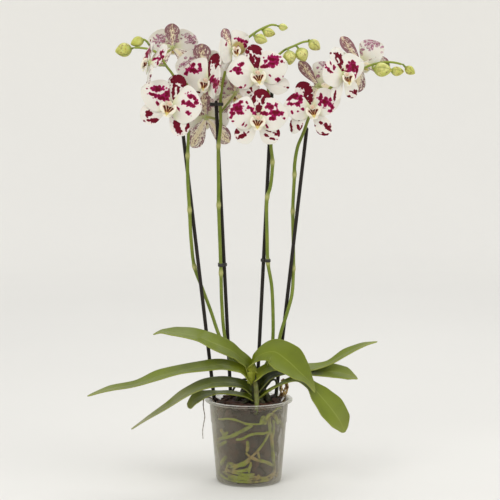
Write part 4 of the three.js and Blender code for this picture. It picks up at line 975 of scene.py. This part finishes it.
class OrchidStageSettings(bpy.types.PropertyGroup):
    """The floor, the light and the camera."""

    floor_colour: colour("Floor", "Colour of the floor and the wall behind", 226, 224, 219)
    light: bpy.props.FloatProperty(
        name="Light", description="Strength of the main light", default=16, min=0, unit="POWER")
    fill: bpy.props.FloatProperty(
        name="Fill", description="Strength of the light from all round", default=0.86, min=0)
    glow: bpy.props.FloatProperty(
        name="Glow", description="Strength of the light that the wall behind gives off",
        default=0.14, min=0)
    lens: bpy.props.FloatProperty(
        name="Lens", description="Focal length of the camera", default=107.1, min=10,
        unit="CAMERA")


# ---- Pot and bark ----


def make_pot(plan):
    height, rim = POT["height"], POT["rim"]
    _, foot, low_wall, step_top, wall_top = POT["outer"]
    rows = 12
    wall = [tuple(a + (b - a) * (k / rows) for a, b in zip(foot, low_wall))
            for k in range(1, rows)]
    wall += [low_wall, step_top, (52.6, 95), wall_top]
    lip = [(54.2, height - 3.6), (54.8, height - 3.2), (rim - 0.6, height - 3.1),
           (rim, height - 2.6), (rim, height - 0.5), (rim - 0.5, height), (54.7, height),
           (54.1, height - 0.4), (53.1, height - 1.6)]
    outside = [(0, 0), (42, 0), (42.7, 0.4), (43.2, 1.4), foot, *wall, *lip]
    inside = [(r - POT["wall"], z) for r, z in reversed(wall)]
    inside += [(43.3, 3.2), (42.4, POT["floor"]), (0, POT["floor"])]
    pot = turned("clear_pot", outside + inside, 128,
                 lambda u, v, point: {"rim": smooth((point.z - height + 2.4) / 1.8)})
    count, radius, ring = POT["drain"]
    for k in range(count):
        angle = math.tau * k / count
        alone()
        bpy.ops.mesh.primitive_cylinder_add(
            vertices=24, radius=radius * MM, depth=8 * MM,
            location=(ring * MM * math.cos(angle), ring * MM * math.sin(angle), 0))
        hole = bpy.context.object
        apply(pot, "BOOLEAN", operation="DIFFERENCE", object=hole, solver="EXACT")
        bpy.data.objects.remove(hole)
    wear(pot, plastic_finish(plan))
    hand_over(pot, "pot", "pot", sharp=35)


def bark_chip():
    """One chip of bark: a bevelled block, pinched at one end."""
    alone()
    bpy.ops.mesh.primitive_cube_add(size=1)
    chip = bpy.context.object
    for vertex in chip.data.vertices:
        if vertex.co.x > 0:
            vertex.co.y *= 0.6
            vertex.co.z *= 0.7
    edit(chip, lambda: bpy.ops.mesh.bevel(offset=0.16, segments=1))
    return chip


def chip_on_wall(draw):
    """Where a chip lies that is pressed flat against the pot's wall."""
    degrees, z = draw.uniform(-180, 180), draw.uniform(7, 99)
    at = wall_point(degrees, z, draw.uniform(6.5, 9))
    return (Matrix.Translation(at) @ Matrix.Rotation(math.radians(degrees), 4, "Z")
            @ Matrix.Rotation(draw.uniform(0, math.pi), 4, "Y")
            @ Matrix.Rotation(math.pi / 2 + draw.uniform(-0.25, 0.25), 4, "X"))


def chip_on_top(draw):
    """Where a chip lies on the fill, which is heaped up towards the wall, most at its sides."""
    far, turn = 42 * math.sqrt(draw.random()), draw.uniform(0, math.tau)
    heap = far * (0.085 + 0.035 * math.sin(turn) + 0.05 * abs(math.cos(turn)))
    at = Vector((far * math.cos(turn), far * math.sin(turn),
                 draw.uniform(BARK_TOP - 6, BARK_TOP) + heap))
    return (Matrix.Translation(at) @ Matrix.Rotation(draw.uniform(0, math.tau), 4, "Z")
            @ Matrix.Rotation(draw.uniform(-0.4, 0.4), 4, "Y")
            @ Matrix.Rotation(draw.uniform(-0.5, 0.5), 4, "X"))


def make_bark(plan):
    """A dark core with chips over it, so that no light gets through between them."""
    draw = random.Random(BARK_SEED)
    model = bark_chip()
    behind_chips = 9.5
    core = [(0, 2.2)] + [(inner_radius(z) - behind_chips, z) for z in (2.2, 20, 50, 81, 97)]
    pieces = [turned("bark_core", core + [(34, 102), (0, 103)], 32)]
    on_wall = plan.chips * 3 // 5
    for k in range(plan.chips):
        size = [draw.uniform(*span) for span in CHIP_SIZES]
        chip = model.copy()
        chip.data = model.data.copy()
        bpy.context.scene.collection.objects.link(chip)
        stand = chip_on_wall(draw) if k < on_wall else chip_on_top(draw)
        chip.data.transform(Matrix.Scale(MM, 4) @ stand @ Matrix.Diagonal((*size, 1)))
        pieces.append(chip)
    bpy.data.objects.remove(model)
    bark = wear(joined("bark_chips", pieces), bark_finish(plan))
    hand_over(bark, "bark", "bark", sharp=30)


# ---- Roots ----


def make_roots(plan):
    thick = plan.root_radius / MM
    draw = random.Random(ROOT_SEED)
    wall = root_finish("wall root", rgb(150, 160, 28), rgb(174, 148, 76), 0.2)
    top = root_finish("aerial root", rgb(102, 112, 36), rgb(88, 84, 34), 0.2)
    # Painted shade: a darker copy of the root skin, for the crown and all but the front aerial
    # root.
    shaded = root_finish("shaded root", rgb(52, 58, 20), rgb(44, 34, 20), 0.08)
    pieces = []
    ways = [(factor, front_point, points) for factor, points in FRONT_ROOTS]
    ways += [(1, wall_point, points) for points in FAR_ROOTS]
    for number, (factor, find, points) in enumerate(ways):
        path = Path([find(*point, thick * factor + 0.5) for point in points])
        phase = draw.uniform(0, 6)

        def radius(share, angle, factor=factor, phase=phase):
            swell = 1 + 0.1 * math.sin(share * 23 + phase) + 0.05 * math.sin(share * 61 + phase)
            return thick * factor * swell * (1 - 0.25 * smooth((share - 0.8) * 5))

        pieces.append(wear(tube(f"root_{number}", path, radius, 12, 2.5), wall))
    for number, (thickness, points) in enumerate(AERIAL_ROOTS):

        def thinning(share, angle, number=number, thickness=thickness):
            swell = 0.06 * math.sin(share * 31 + number) + 0.04 * math.sin(3 * angle + share * 20)
            return thickness * (1 - 0.3 * smooth(share * 2 - 1)) * (1 + swell)

        root = tube(f"aerial_root_{number}", Path(points), thinning, 16, 2)
        pieces.append(wear(root, shaded if number else top))
    x, y = CROWN["centre"]
    profile = [(0, 84)] + [(r, z) for z, r in CROWN["rings"]] + [(0, 151)]
    crown = wear(turned("crown", profile, 28), shaded)
    crown.data.transform(Matrix.Translation((x * MM, y * MM, 0)))
    pieces.append(crown)
    roots = joined("roots_and_crown", pieces)
    hand_over(roots, "roots", "crown_and_roots")


def make_dry_pieces(plan):
    def wrinkled(share, angle):
        return 0.8 * (1.15 - 0.5 * share + 0.14 * math.sin(share * 90))

    root = tube("dried_root", Path(HANGING_ROOT), wrinkled, 8, 1,
                lambda share, v, point: {"along": share})
    wear(root, dry_finish("dried root", rgb(122, 98, 80), rgb(78, 60, 48)))
    hand_over(root, "dry", "hanging_root")
    strands = []
    for number, (thickness, points) in enumerate(DRY_SHEATH):

        def crumple(share, angle, number=number, thickness=thickness):
            fold = (0.35 * math.sin(3 * angle + share * 9 + number)
                    + 0.25 * math.sin(7 * angle - share * 30))
            waist = 1 - 0.5 * share + 0.22 * math.sin(share * 19 + number * 2)
            return thickness * waist * (1 + 0.6 * fold)

        strands.append(tube(f"sheath_strand_{number}", Path(points), crumple, 24, 0.8))
    sheath = joined("dried_sheath", strands)
    wear(sheath, dry_finish("dry husk", rgb(224, 194, 134), rgb(128, 88, 48)))
    hand_over(sheath, "dry", "dry_sheath")


# ---- Leaves ----


def leaf_place(stations):
    """A leaf's surface, with a channel along its midrib that closes towards the base."""
    midrib = Path([station[:3] for station in stations])
    last = len(stations) - 1
    channel_depth, foot_depth, ripple_height, tip = 0.16, 0.5, 0.5, 0.97

    def place(u, v):
        k = min(int(u * last), last - 1)
        t = u * last - k
        t = (smooth(t) + t) / 2
        half, tilt = (a + (b - a) * t for a, b in zip(stations[k][3:], stations[k + 1][3:]))
        ahead, behind = midrib.at(min(1, u + Path.NEAR)), midrib.at(max(0, u - Path.NEAR))
        along = (ahead - behind).normalized()
        level = Vector((-along.y, along.x, 0)).normalized()
        level = -level if level.y < 0 else level
        rise = level.cross(along).normalized()
        rise = -rise if rise.z < 0 else rise
        lean = math.radians(tilt)
        side = level * math.cos(lean) + rise * math.sin(lean)
        face = rise * math.cos(lean) - level * math.sin(lean)
        channel = (channel_depth + foot_depth * max(0, 1 - u * 4)) * half
        ripple = ripple_height * math.sin(u * 17 + v * 2) * v * v * smooth(u * 4)
        close = max(0, 1 - ((u - tip) / (1 - tip)) ** 2) ** 0.5 if u > tip else 1
        return midrib.at(u) + side * v * half * close + face * (channel * abs(v) ** 1.5 + ripple)

    return place


def make_leaves(plan):
    face = leaf_finish(plan)
    under = leaf_finish(plan, "leaf underside", rgb(120, 128, 44), 0.45, 0.02)

    for name, stations in LEAVES.items():
        foot, dust = LEAF_TONES[name]

        def marks(u, v, point, foot=foot, dust=dust):
            fade = 3.6 if foot > 0 else 1.8
            return {"along": u, "across": v, "foot": foot * smooth(1.35 - u * fade),
                    "dust": dust * smooth(u * 3 - 1.4)}

        leaf = sheet(f"leaf_{name}_blade", leaf_place(stations), 16, 64, Vector((0, 0, 1)), marks)
        thicken(wear(leaf, face, under), plan.leaf_thickness / MM, 1)
        apply(leaf, "SUBSURF", levels=1, render_levels=1)
        hand_over(leaf, "leaf", "leaf_" + name)


# ---- Stakes and clips ----


def stake_point(name, z):
    foot, top = (Vector(end) for end in STAKES[name])
    return foot.lerp(top, (z - foot.z) / (top.z - foot.z))


def make_stakes(plan):
    finish = stake_finish(plan)
    radius = plan.stake_radius / MM

    def worn(share, angle):
        return radius * (1 - 0.12 * smooth((share - 0.99) * 100))

    for name, ends in STAKES.items():
        foot, top = (Vector(end) for end in ends)
        stake = tube("support_" + name, Path([foot, foot.lerp(top, 0.5), top]), worn, 24, 12)
        hand_over(wear(stake, finish), "stake", "stake_" + name)


def ring(x, y, z, inner, outer, height):
    """An upright ring with rounded edges."""
    middle, half = (inner + outer) / 2, (outer - inner) / 2
    alone()
    bpy.ops.mesh.primitive_torus_add(
        major_segments=40, minor_segments=12, major_radius=middle * MM, minor_radius=half * MM)
    band = bpy.context.object
    band.data.transform(Matrix.Translation(Vector((x, y, z)) * MM)
                        @ Matrix.Diagonal((1, 1, height / 2 / half, 1)))
    return band


def bar(x, y, z, size, turn):
    """A rounded block, turned about the vertical."""
    alone()
    bpy.ops.mesh.primitive_cube_add(size=1)
    block = bpy.context.object
    block.data.transform(Matrix.Translation(Vector((x, y, z)) * MM) @ Matrix.Rotation(turn, 4, "Z")
                         @ Matrix.Diagonal((*(Vector(size) * MM), 1)))
    edit(block, lambda: bpy.ops.mesh.bevel(offset=0.5 * MM, segments=2))
    return block


def make_clips(plan):
    finish = clip_finish()
    clearance, wall, height = 0.3, 1.3, 4.4
    tab_size, bridge_depth, overlap = (5, 2.4, 5), 3, 1.2
    stake_radius, stem_radius = (
        radius / MM + clearance for radius in (plan.stake_radius, plan.stem_radius))
    for name, (spike, z, stem, tab) in CLIPS.items():
        sx, sy, _ = stake_point(spike, z)
        turn = math.atan2(stem[1] - sy, stem[0] - sx)
        reach = stake_radius + wall + 2
        pieces = [
            ring(sx, sy, z, stake_radius, stake_radius + wall, height),
            ring(*stem, z, stem_radius, stem_radius + wall, height),
            bar(sx + tab[0] * reach, sy + tab[1] * reach, z, tab_size,
                math.atan2(tab[1], tab[0])),
        ]
        span = math.hypot(stem[0] - sx, stem[1] - sy)
        bridge = span - stake_radius - stem_radius
        along = (stake_radius + bridge / 2) / span
        if bridge > 0.4:
            pieces.append(bar(sx + (stem[0] - sx) * along, sy + (stem[1] - sy) * along, z,
                              (bridge + overlap, bridge_depth, height), turn))
        hand_over(wear(joined(name + "_moulding", pieces), finish), "clip", name, sharp=40)


# ---- Spikes ----


def nearest(path, place):
    goal = Vector(place)
    return min(path.table, key=lambda spot: (spot - goal).length)


def pedicel(name, path, radius, sides, step, paleness):
    """A stalk that widens to its end and pales as it does."""
    return tube(name, path, lambda s, a: radius + 0.5 * s, sides, step,
                lambda s, v, p: {"along": s, "node": paleness * s})


def make_bud(name, centre, radius, half, lean, root):
    """A bud of folded sepals with its pedicel."""
    tip = Vector((math.sin(math.radians(lean)), 0, math.cos(math.radians(lean))))
    foot, head = Vector(centre) - tip * half, Vector(centre) + tip * half
    side = tip.orthogonal().normalized()
    up = tip.cross(side)
    folds, ridge = 3, 0.05

    def place(u, v):
        angle = math.pi * v
        r = radius * math.sin(math.pi * min(1, u) ** 0.85) ** 0.72
        r *= (1 + ridge * math.cos(folds * angle + 0.5)
              - ridge * max(0, math.cos(folds * angle)) ** 12)
        return foot.lerp(head, u) + (side * math.cos(angle) + up * math.sin(angle)) * r

    def marks(u, v, point):
        seam = 0.7 * max(0, math.cos(folds * math.pi * v)) ** 20 * smooth(u * 3)
        return {"along": u, "seam": seam}

    body = close_up(sheet(name, place, 36, 28, marks=marks))
    start = Vector(root)
    rise = start.lerp(foot, 0.4) + Vector((0, 0, 2))
    path = Bent([start, rise, foot - tip * 3, foot + tip * 1.5])
    return body, pedicel(name + "_stalk", path, 1.1, 10, 1.5, 0)


def make_spike(plan, name, stem, bud):
    spec = SPIKES[name]
    path = Path(spec["axis"])
    foot, tip = plan.stem_radius / MM, plan.stem_tip_radius / MM
    shares = [k / Path.STEPS for k in range(Path.STEPS)]
    nodes = [next(share for share in shares if path.spot(share).z > z) for z in spec["nodes"]]

    def near_node(share):
        return max(math.exp(-(((share - node) * path.length / 4) ** 2)) for node in nodes)

    def radius(share, angle):
        even, swelling = 0.6, 0.9
        thin = max(0, share - even) / (1 - even)
        return foot + (tip - foot) * thin + swelling * near_node(share)

    def marks(share, v, point):
        return {"along": share, "node": near_node(share)}

    green = [tube("axis_" + name, path, radius, 18, 2.5, marks)]
    for key, (start, _, _, _, _, _, via) in BLOOMS.items():
        if key[0] != name:
            continue
        matrix = bloom_matrix(key)
        root = nearest(path, start)
        behind, end = matrix @ Vector((0, 0, -15)), matrix @ Vector((0, 0, -1))
        lift = Vector(via) if via else root.lerp(behind, 0.5)
        path_in = Bent([root, lift, behind, end])
        green.append(pedicel("pedicel_" + key, path_in, 1.3, 12, 2, 0.9))
    buds = []
    for number, (centre, width, half, lean, start) in enumerate(spec["buds"]):
        body, stalk = make_bud(f"bud_{name}{number}", centre, width, half, lean,
                               nearest(path, spec["axis"][start]))
        buds.append(wear(body, bud))
        green.append(stalk)
    for piece in green:
        wear(piece, stem)
    hand_over(joined("flower_spike_" + name, green + buds), "stem", "spike_" + name)


def make_spikes(plan):
    stem, bud = stem_finish(plan), bud_finish()
    for name in SPIKES:
        make_spike(plan, name, stem, bud)


# ---- Blooms ----


def half_width(form, u):
    """Half a tepal's width at a share of its length."""
    shift, power = form["bulge"]
    swell = max(0, math.sin(math.pi * u ** shift)) ** power
    least = 0.9
    return form["claw"] * (1 - u) + least + (form["half"] - least) * swell


def tepal_place(form, degrees, mirrored, draw, stance):
    """A tepal's surface in its bloom's own frame, gently waved."""
    spin, swing, width, reach, bow = (*stance, 0)[:5]
    angle, swing = math.radians(degrees + spin), math.radians(swing)
    along = Vector((math.cos(angle), math.sin(angle), 0))
    aside = Vector((-along.y, along.x, 0))
    phases = [draw.uniform(0, 6) for _ in range(3)]
    wave, groove, buckle = form["half"] * 0.045, 0.5, 0.5

    def place(u, v):
        if mirrored:
            v = -v
        waist = 1 - form["waist"] * (1 - smooth(2 * u)) * smooth(2 * v)
        q = v * half_width(form, u) * width * waist
        lift = form["back"] + form["bend"] * u * u + form["cup"] * q * q / form["half"]
        rim = smooth((abs(v) - 0.3) * 1.4) * smooth(u * 3)
        lift += wave * rim * math.sin(u * 9 + phases[0] + v)
        lift -= groove * math.exp(-(v * 9) ** 2) * smooth(u * 4)
        lift += buckle * math.sin(u * 6 + phases[1]) * math.sin(v * 4 + phases[2])
        far = form["root"] + form["length"] * reach * u
        point = (along * (far * math.cos(swing) + lift * math.sin(swing))
                 + aside * (q + (form["skew"] + bow) * math.sin(math.pi * u))
                 + Vector((0, 0, lift * math.cos(swing) - far * math.sin(swing))))
        return Vector((-point.x, point.y, point.z)) if mirrored else point

    return place


def stain_at(blotches, x, y):
    """How deep a place lies inside the nearest blotch: 1 at its middle, 0 on its edge."""
    best = -1.0
    for bx, by, wide, high, *turn in blotches:
        angle = math.radians(sum(turn))
        c, s = math.cos(angle), math.sin(angle)
        dx, dy = x - bx, y - by
        best = max(best, 1 - math.hypot((dx * c + dy * s) / wide, (dy * c - dx * s) / high))
    return best


def make_tepal(plan, bloom, part, finishes, draw):
    form, degrees = TEPALS[part]
    stance = STANCES.get(bloom, {}).get(part, AS_THE_REST)
    matrix = bloom_matrix(bloom)
    seen = bloom in BLOTCHES
    blotches = (BLOTCHES[bloom] if seen else PLAIN)[part]
    middle = Vector(BLOOMS[bloom][1])
    local = tepal_place(form, degrees, part == "left", draw, stance)
    olive = CUP_SHADE.get((bloom, part), [])
    deep = PETAL_DEPTH if form is PETAL else DORSAL_DEPTH if part == "dorsal" else SEPAL_DEPTH

    def place(u, v):
        return matrix @ local(u, v)

    def marks(u, v, point):
        if seen:
            right, up = point.x - middle.x, point.z - middle.z
        else:
            right, up, _ = local(u, v)
        right, up = right / BLOTCH_STEP, up / BLOTCH_STEP
        return {"along": u, "across": v, "stain": stain_at(blotches, right, up), "depth": deep,
                "olive": smooth(stain_at(olive, right, up) * 3)}

    across, along = (36, 40) if form is PETAL else (24, 36)
    face = matrix.to_3x3() @ Vector((0, 0, 1))
    tepal = sheet(f"{part}_{bloom}", place, across, along, face, marks)
    back = finishes["petal back"] if form is PETAL else finishes["sepal back"]
    front = back if (bloom, part) in TURNED_OVER else finishes["face"]
    return thicken(wear(tepal, front, back), plan.petal_thickness / MM, 1)


def make_blooms(plan):
    finishes = {"face": petal_face(plan), "petal back": petal_back(plan),
                "sepal back": sepal_back(), "hub": hub_finish()}
    for number, bloom in enumerate(BLOOMS):
        draw = random.Random(plan.seed + number)
        pieces = [make_tepal(plan, bloom, part, finishes, draw) for part in TEPALS]
        alone()
        bpy.ops.mesh.primitive_uv_sphere_add(segments=24, ring_count=12, radius=1)
        hub = bpy.context.object
        radius, half_depth = HUB
        hub.data.transform(Matrix.Scale(MM, 4) @ bloom_matrix(bloom)
                           @ Matrix.Diagonal((radius, radius, half_depth, 1)))
        wear(hub, finishes["hub"])
        hand_over(joined("tepals_" + bloom, [*pieces, hub]), "petal", "bloom_" + bloom, sharp=50)


# ---- Lips ----

# The way of the column above the lip, and the lips that hang lower than the rest and by how much.
COLUMN = [(0, 0.3, 3.5), (0, 1.2, 5.5), (0, 2.2, 8), (0, 1.4, 10.2)]
LIP_DROP = {"d2": 2.5, "c1": 0.8}


def side_lobe(u, v):
    """The right wall of the lip's cup, from its middle outwards, v from its top to its foot."""
    angle = math.radians(-20 - 54 * v)
    reach = 1.2 + (9.1 - 1.2 * v * v) * u
    return Vector((reach * math.cos(angle), -2.2 + reach * math.sin(angle),
                   4.4 + 8.6 * u ** 1.4 - 2 * v * v * u - 2.2 * smooth(u * 5 - 4)))


def middle_lobe(u, v):
    """The lip's tongue, hanging from the cup and tipped forward."""
    half = 2.8 + 4 * max(0, math.sin(math.pi * min(1, u * 0.94))) ** 1.1
    return Vector((v * half, -2.5 - 12 * u,
                   4.6 + 6.2 * u - 3.4 * u * u - 0.25 * v * v * half))


def lip_marks(point):
    """The brown flames that fan out from the tongue's foot, and the yellow between and below."""
    foot, first, step, last = 13.5, 8, 19, 38
    near, far, widest = 3.5, 14.2, 46
    away = math.hypot(point.x, point.y + foot)
    fan = math.degrees(math.atan2(point.x, point.y + foot))
    bend = abs(fan) - 0.5 * (away - 9)
    flames = (0.5 + 0.5 * math.cos(math.tau * (bend - first) / step)) ** 0.6
    bars = (flames * smooth((last - bend) / 6) * smooth((away - near) / 3)
            * smooth((far - away) / 2.5))
    return {"gold": smooth((widest - abs(fan)) / 20) * smooth((11.5 - away) / 6), "bars": bars}


def make_lip(plan, bloom, finish):
    matrix = bloom_matrix(bloom) @ Matrix.Translation((0, -LIP_DROP.get(bloom, 0), 0))
    scale = BLOOMS[bloom][5]

    def lobe(name, shape, mirrored=False):
        def place(u, v):
            point = shape(u, v)
            if mirrored:
                point.x = -point.x
            return matrix @ point

        def marks(u, v, point):
            return lip_marks(shape(u, v))

        return thicken(sheet(name, place, 24, 24, marks=marks), plan.petal_thickness / MM)

    column = Path([matrix @ Vector(point) for point in COLUMN])

    def column_radius(share, angle):
        return (2.7 + 1.1 * math.sin(share * 3.1)) * scale * (1 - 0.12 * math.cos(2 * angle))

    def column_marks(share, v, point):
        return {"gold": 0.1, "bars": 0.2 * smooth((share - 0.7) * 5)}

    pieces = [
        tube("column_" + bloom, column, column_radius, 20, 0.8, column_marks),
        lobe("lobe_right_" + bloom, side_lobe),
        lobe("lobe_left_" + bloom, side_lobe, True),
        lobe("lobe_middle_" + bloom, middle_lobe),
    ]
    for piece in pieces:
        wear(piece, finish)
    hand_over(joined("lip_petals_" + bloom, pieces), "lip", "lip_" + bloom, sharp=50)


def make_lips(plan):
    finish = lip_finish(plan)
    for bloom in BLOOMS:
        make_lip(plan, bloom, finish)


# ---- Stage ----


# The camera's place in metres, and how far it looks down in degrees.
CAMERA = ((0.0016, -2.0, 0.508), 5.48)
# Where the lamps point, each lamp's place and width in metres, and its share of the main light.
LIT = (0, 0, 0.35)
LAMPS = {
    "key_light": ((-0.9, -1.5, 1.9), 1.4, 1), "side_light": ((1.6, -1.0, 1.2), 1.4, 0.5),
    "back_light": ((0.3, 0.9, 1.7), 1.0, 0.35),
}


def make_sweep(plan):
    """A pale round floor that curves up into a wall, which glows a little."""
    flat, bend, top = 2700, 900, 1500
    profile = [(0, 0), (flat / 3, 0), (flat * 2 / 3, 0), (flat, 0)]
    for degrees in range(9, 90, 9):
        lean = math.radians(degrees)
        profile.append((flat + bend * math.sin(lean), bend * (1 - math.cos(lean))))
    profile += [(flat + bend, bend), (flat + bend, top)]
    glow_from, glow_full = 700, 3000

    def marks(u, v, point):
        far = math.hypot(point.x, point.y)
        return {"glow": smooth((far - glow_from) / (glow_full - glow_from))}

    sweep = turned("sweep", profile, 96, marks)
    if sweep.data.polygons[0].normal.z < 0:
        edit(sweep, bpy.ops.mesh.flip_normals)
    f = Finish("sweep", Specular_IOR_Level=0.1)
    tone = tuple(plan.floor_colour)
    soft = f.mix(f.noise(2, 2), tone, tuple(0.97 * c for c in tone))
    f.feed(f.shader, {"Emission Color": (1, 0.99, 0.965),
                      "Emission Strength": f.math("MULTIPLY", f.mark("glow"), plan.glow)})
    wear(sweep, f.done(soft, 0.9, f.noise(90, 3), 0.05))
    alone(sweep)
    bpy.ops.object.shade_smooth()


def make_stage(plan):
    """The sweep, soft lights and the camera."""
    make_sweep(plan)
    for name, (place, size, share) in LAMPS.items():
        bpy.ops.object.light_add(type="AREA", location=place)
        light = bpy.context.object
        light.name = name
        light.data.shape = "DISK"
        light.data.size = size
        light.data.energy = plan.light * share
        aim = Vector(LIT) - Vector(place)
        light.rotation_euler = aim.to_track_quat("-Z", "Y").to_euler()
    world = bpy.data.worlds.new("studio")
    bpy.context.scene.world = world
    world.use_nodes = True
    sky = world.node_tree.nodes["Background"]
    sky.inputs["Color"].default_value = (0.98, 0.99, 1.0, 1)
    sky.inputs["Strength"].default_value = plan.fill
    place, dip = CAMERA
    bpy.ops.object.camera_add(location=place, rotation=(math.radians(90 - dip), 0, 0))
    camera = bpy.context.object
    camera.data.lens = plan.lens
    camera.data.sensor_width = 36
    bpy.context.scene.camera = camera
    bpy.context.scene.view_settings.view_transform = "Standard"


# ---- Operators, panel and registration ----


def operator(name, about, make, settings):
    """An operator that makes one piece or one group of like pieces."""
    label = name.replace("_", " ").capitalize()

    def execute(self, context):
        make(getattr(context.scene, settings))
        return {"FINISHED"}

    return type(
        "ORCHID_OT_" + name, (bpy.types.Operator,),
        {"__doc__": about, "bl_idname": "orchid." + name, "bl_label": label,
         "bl_options": {"REGISTER", "UNDO"}, "execute": execute})


OPERATORS = [operator(*row) for row in (
    ("pot", "Makes the clear pot", make_pot, "orchid_pot"),
    ("bark", "Fills the pot with bark chips", make_bark, "orchid_pot"),
    ("roots", "Makes the crown and the roots", make_roots, "orchid_pot"),
    ("dry_pieces", "Makes the dried root and sheath", make_dry_pieces, "orchid_pot"),
    ("leaves", "Makes the fan of leaves", make_leaves, "orchid_plant"),
    ("stakes", "Makes the stakes", make_stakes, "orchid_plant"),
    ("clips", "Makes the clips", make_clips, "orchid_plant"),
    ("spikes", "Makes the flower spikes with buds", make_spikes, "orchid_plant"),
    ("blooms", "Makes the petals and sepals", make_blooms, "orchid_plant"),
    ("lips", "Makes the lips and columns", make_lips, "orchid_plant"),
    ("stage", "Makes the floor, light and camera", make_stage, "orchid_stage"),
)]


class ORCHID_PT_panel(bpy.types.Panel):
    """Lists the orchid's pieces and settings."""

    bl_idname = "ORCHID_PT_panel"
    bl_label = "Orchid"
    bl_space_type = "VIEW_3D"
    bl_region_type = "UI"
    bl_category = "Orchid"

    def draw(self, context):
        for made in OPERATORS:
            self.layout.operator(made.bl_idname)
        for group in SETTINGS:
            settings = getattr(context.scene, group)
            for key in settings.__annotations__:
                self.layout.prop(settings, key)


SETTINGS = {
    "orchid_pot": OrchidPotSettings,
    "orchid_plant": OrchidPlantSettings,
    "orchid_stage": OrchidStageSettings,
}


def register():
    for group, kind in SETTINGS.items():
        bpy.utils.register_class(kind)
        setattr(bpy.types.Scene, group, bpy.props.PointerProperty(type=kind))
    for kind in [*OPERATORS, ORCHID_PT_panel]:
        bpy.utils.register_class(kind)


def unregister():
    for kind in [ORCHID_PT_panel, *reversed(OPERATORS)]:
        bpy.utils.unregister_class(kind)
    for group, kind in SETTINGS.items():
        delattr(bpy.types.Scene, group)
        bpy.utils.unregister_class(kind)


def main():
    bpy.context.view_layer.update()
    register()
    for made in OPERATORS:
        group, name = made.bl_idname.split(".")
        getattr(getattr(bpy.ops, group), name)()


if __name__ == "__main__":
    main()
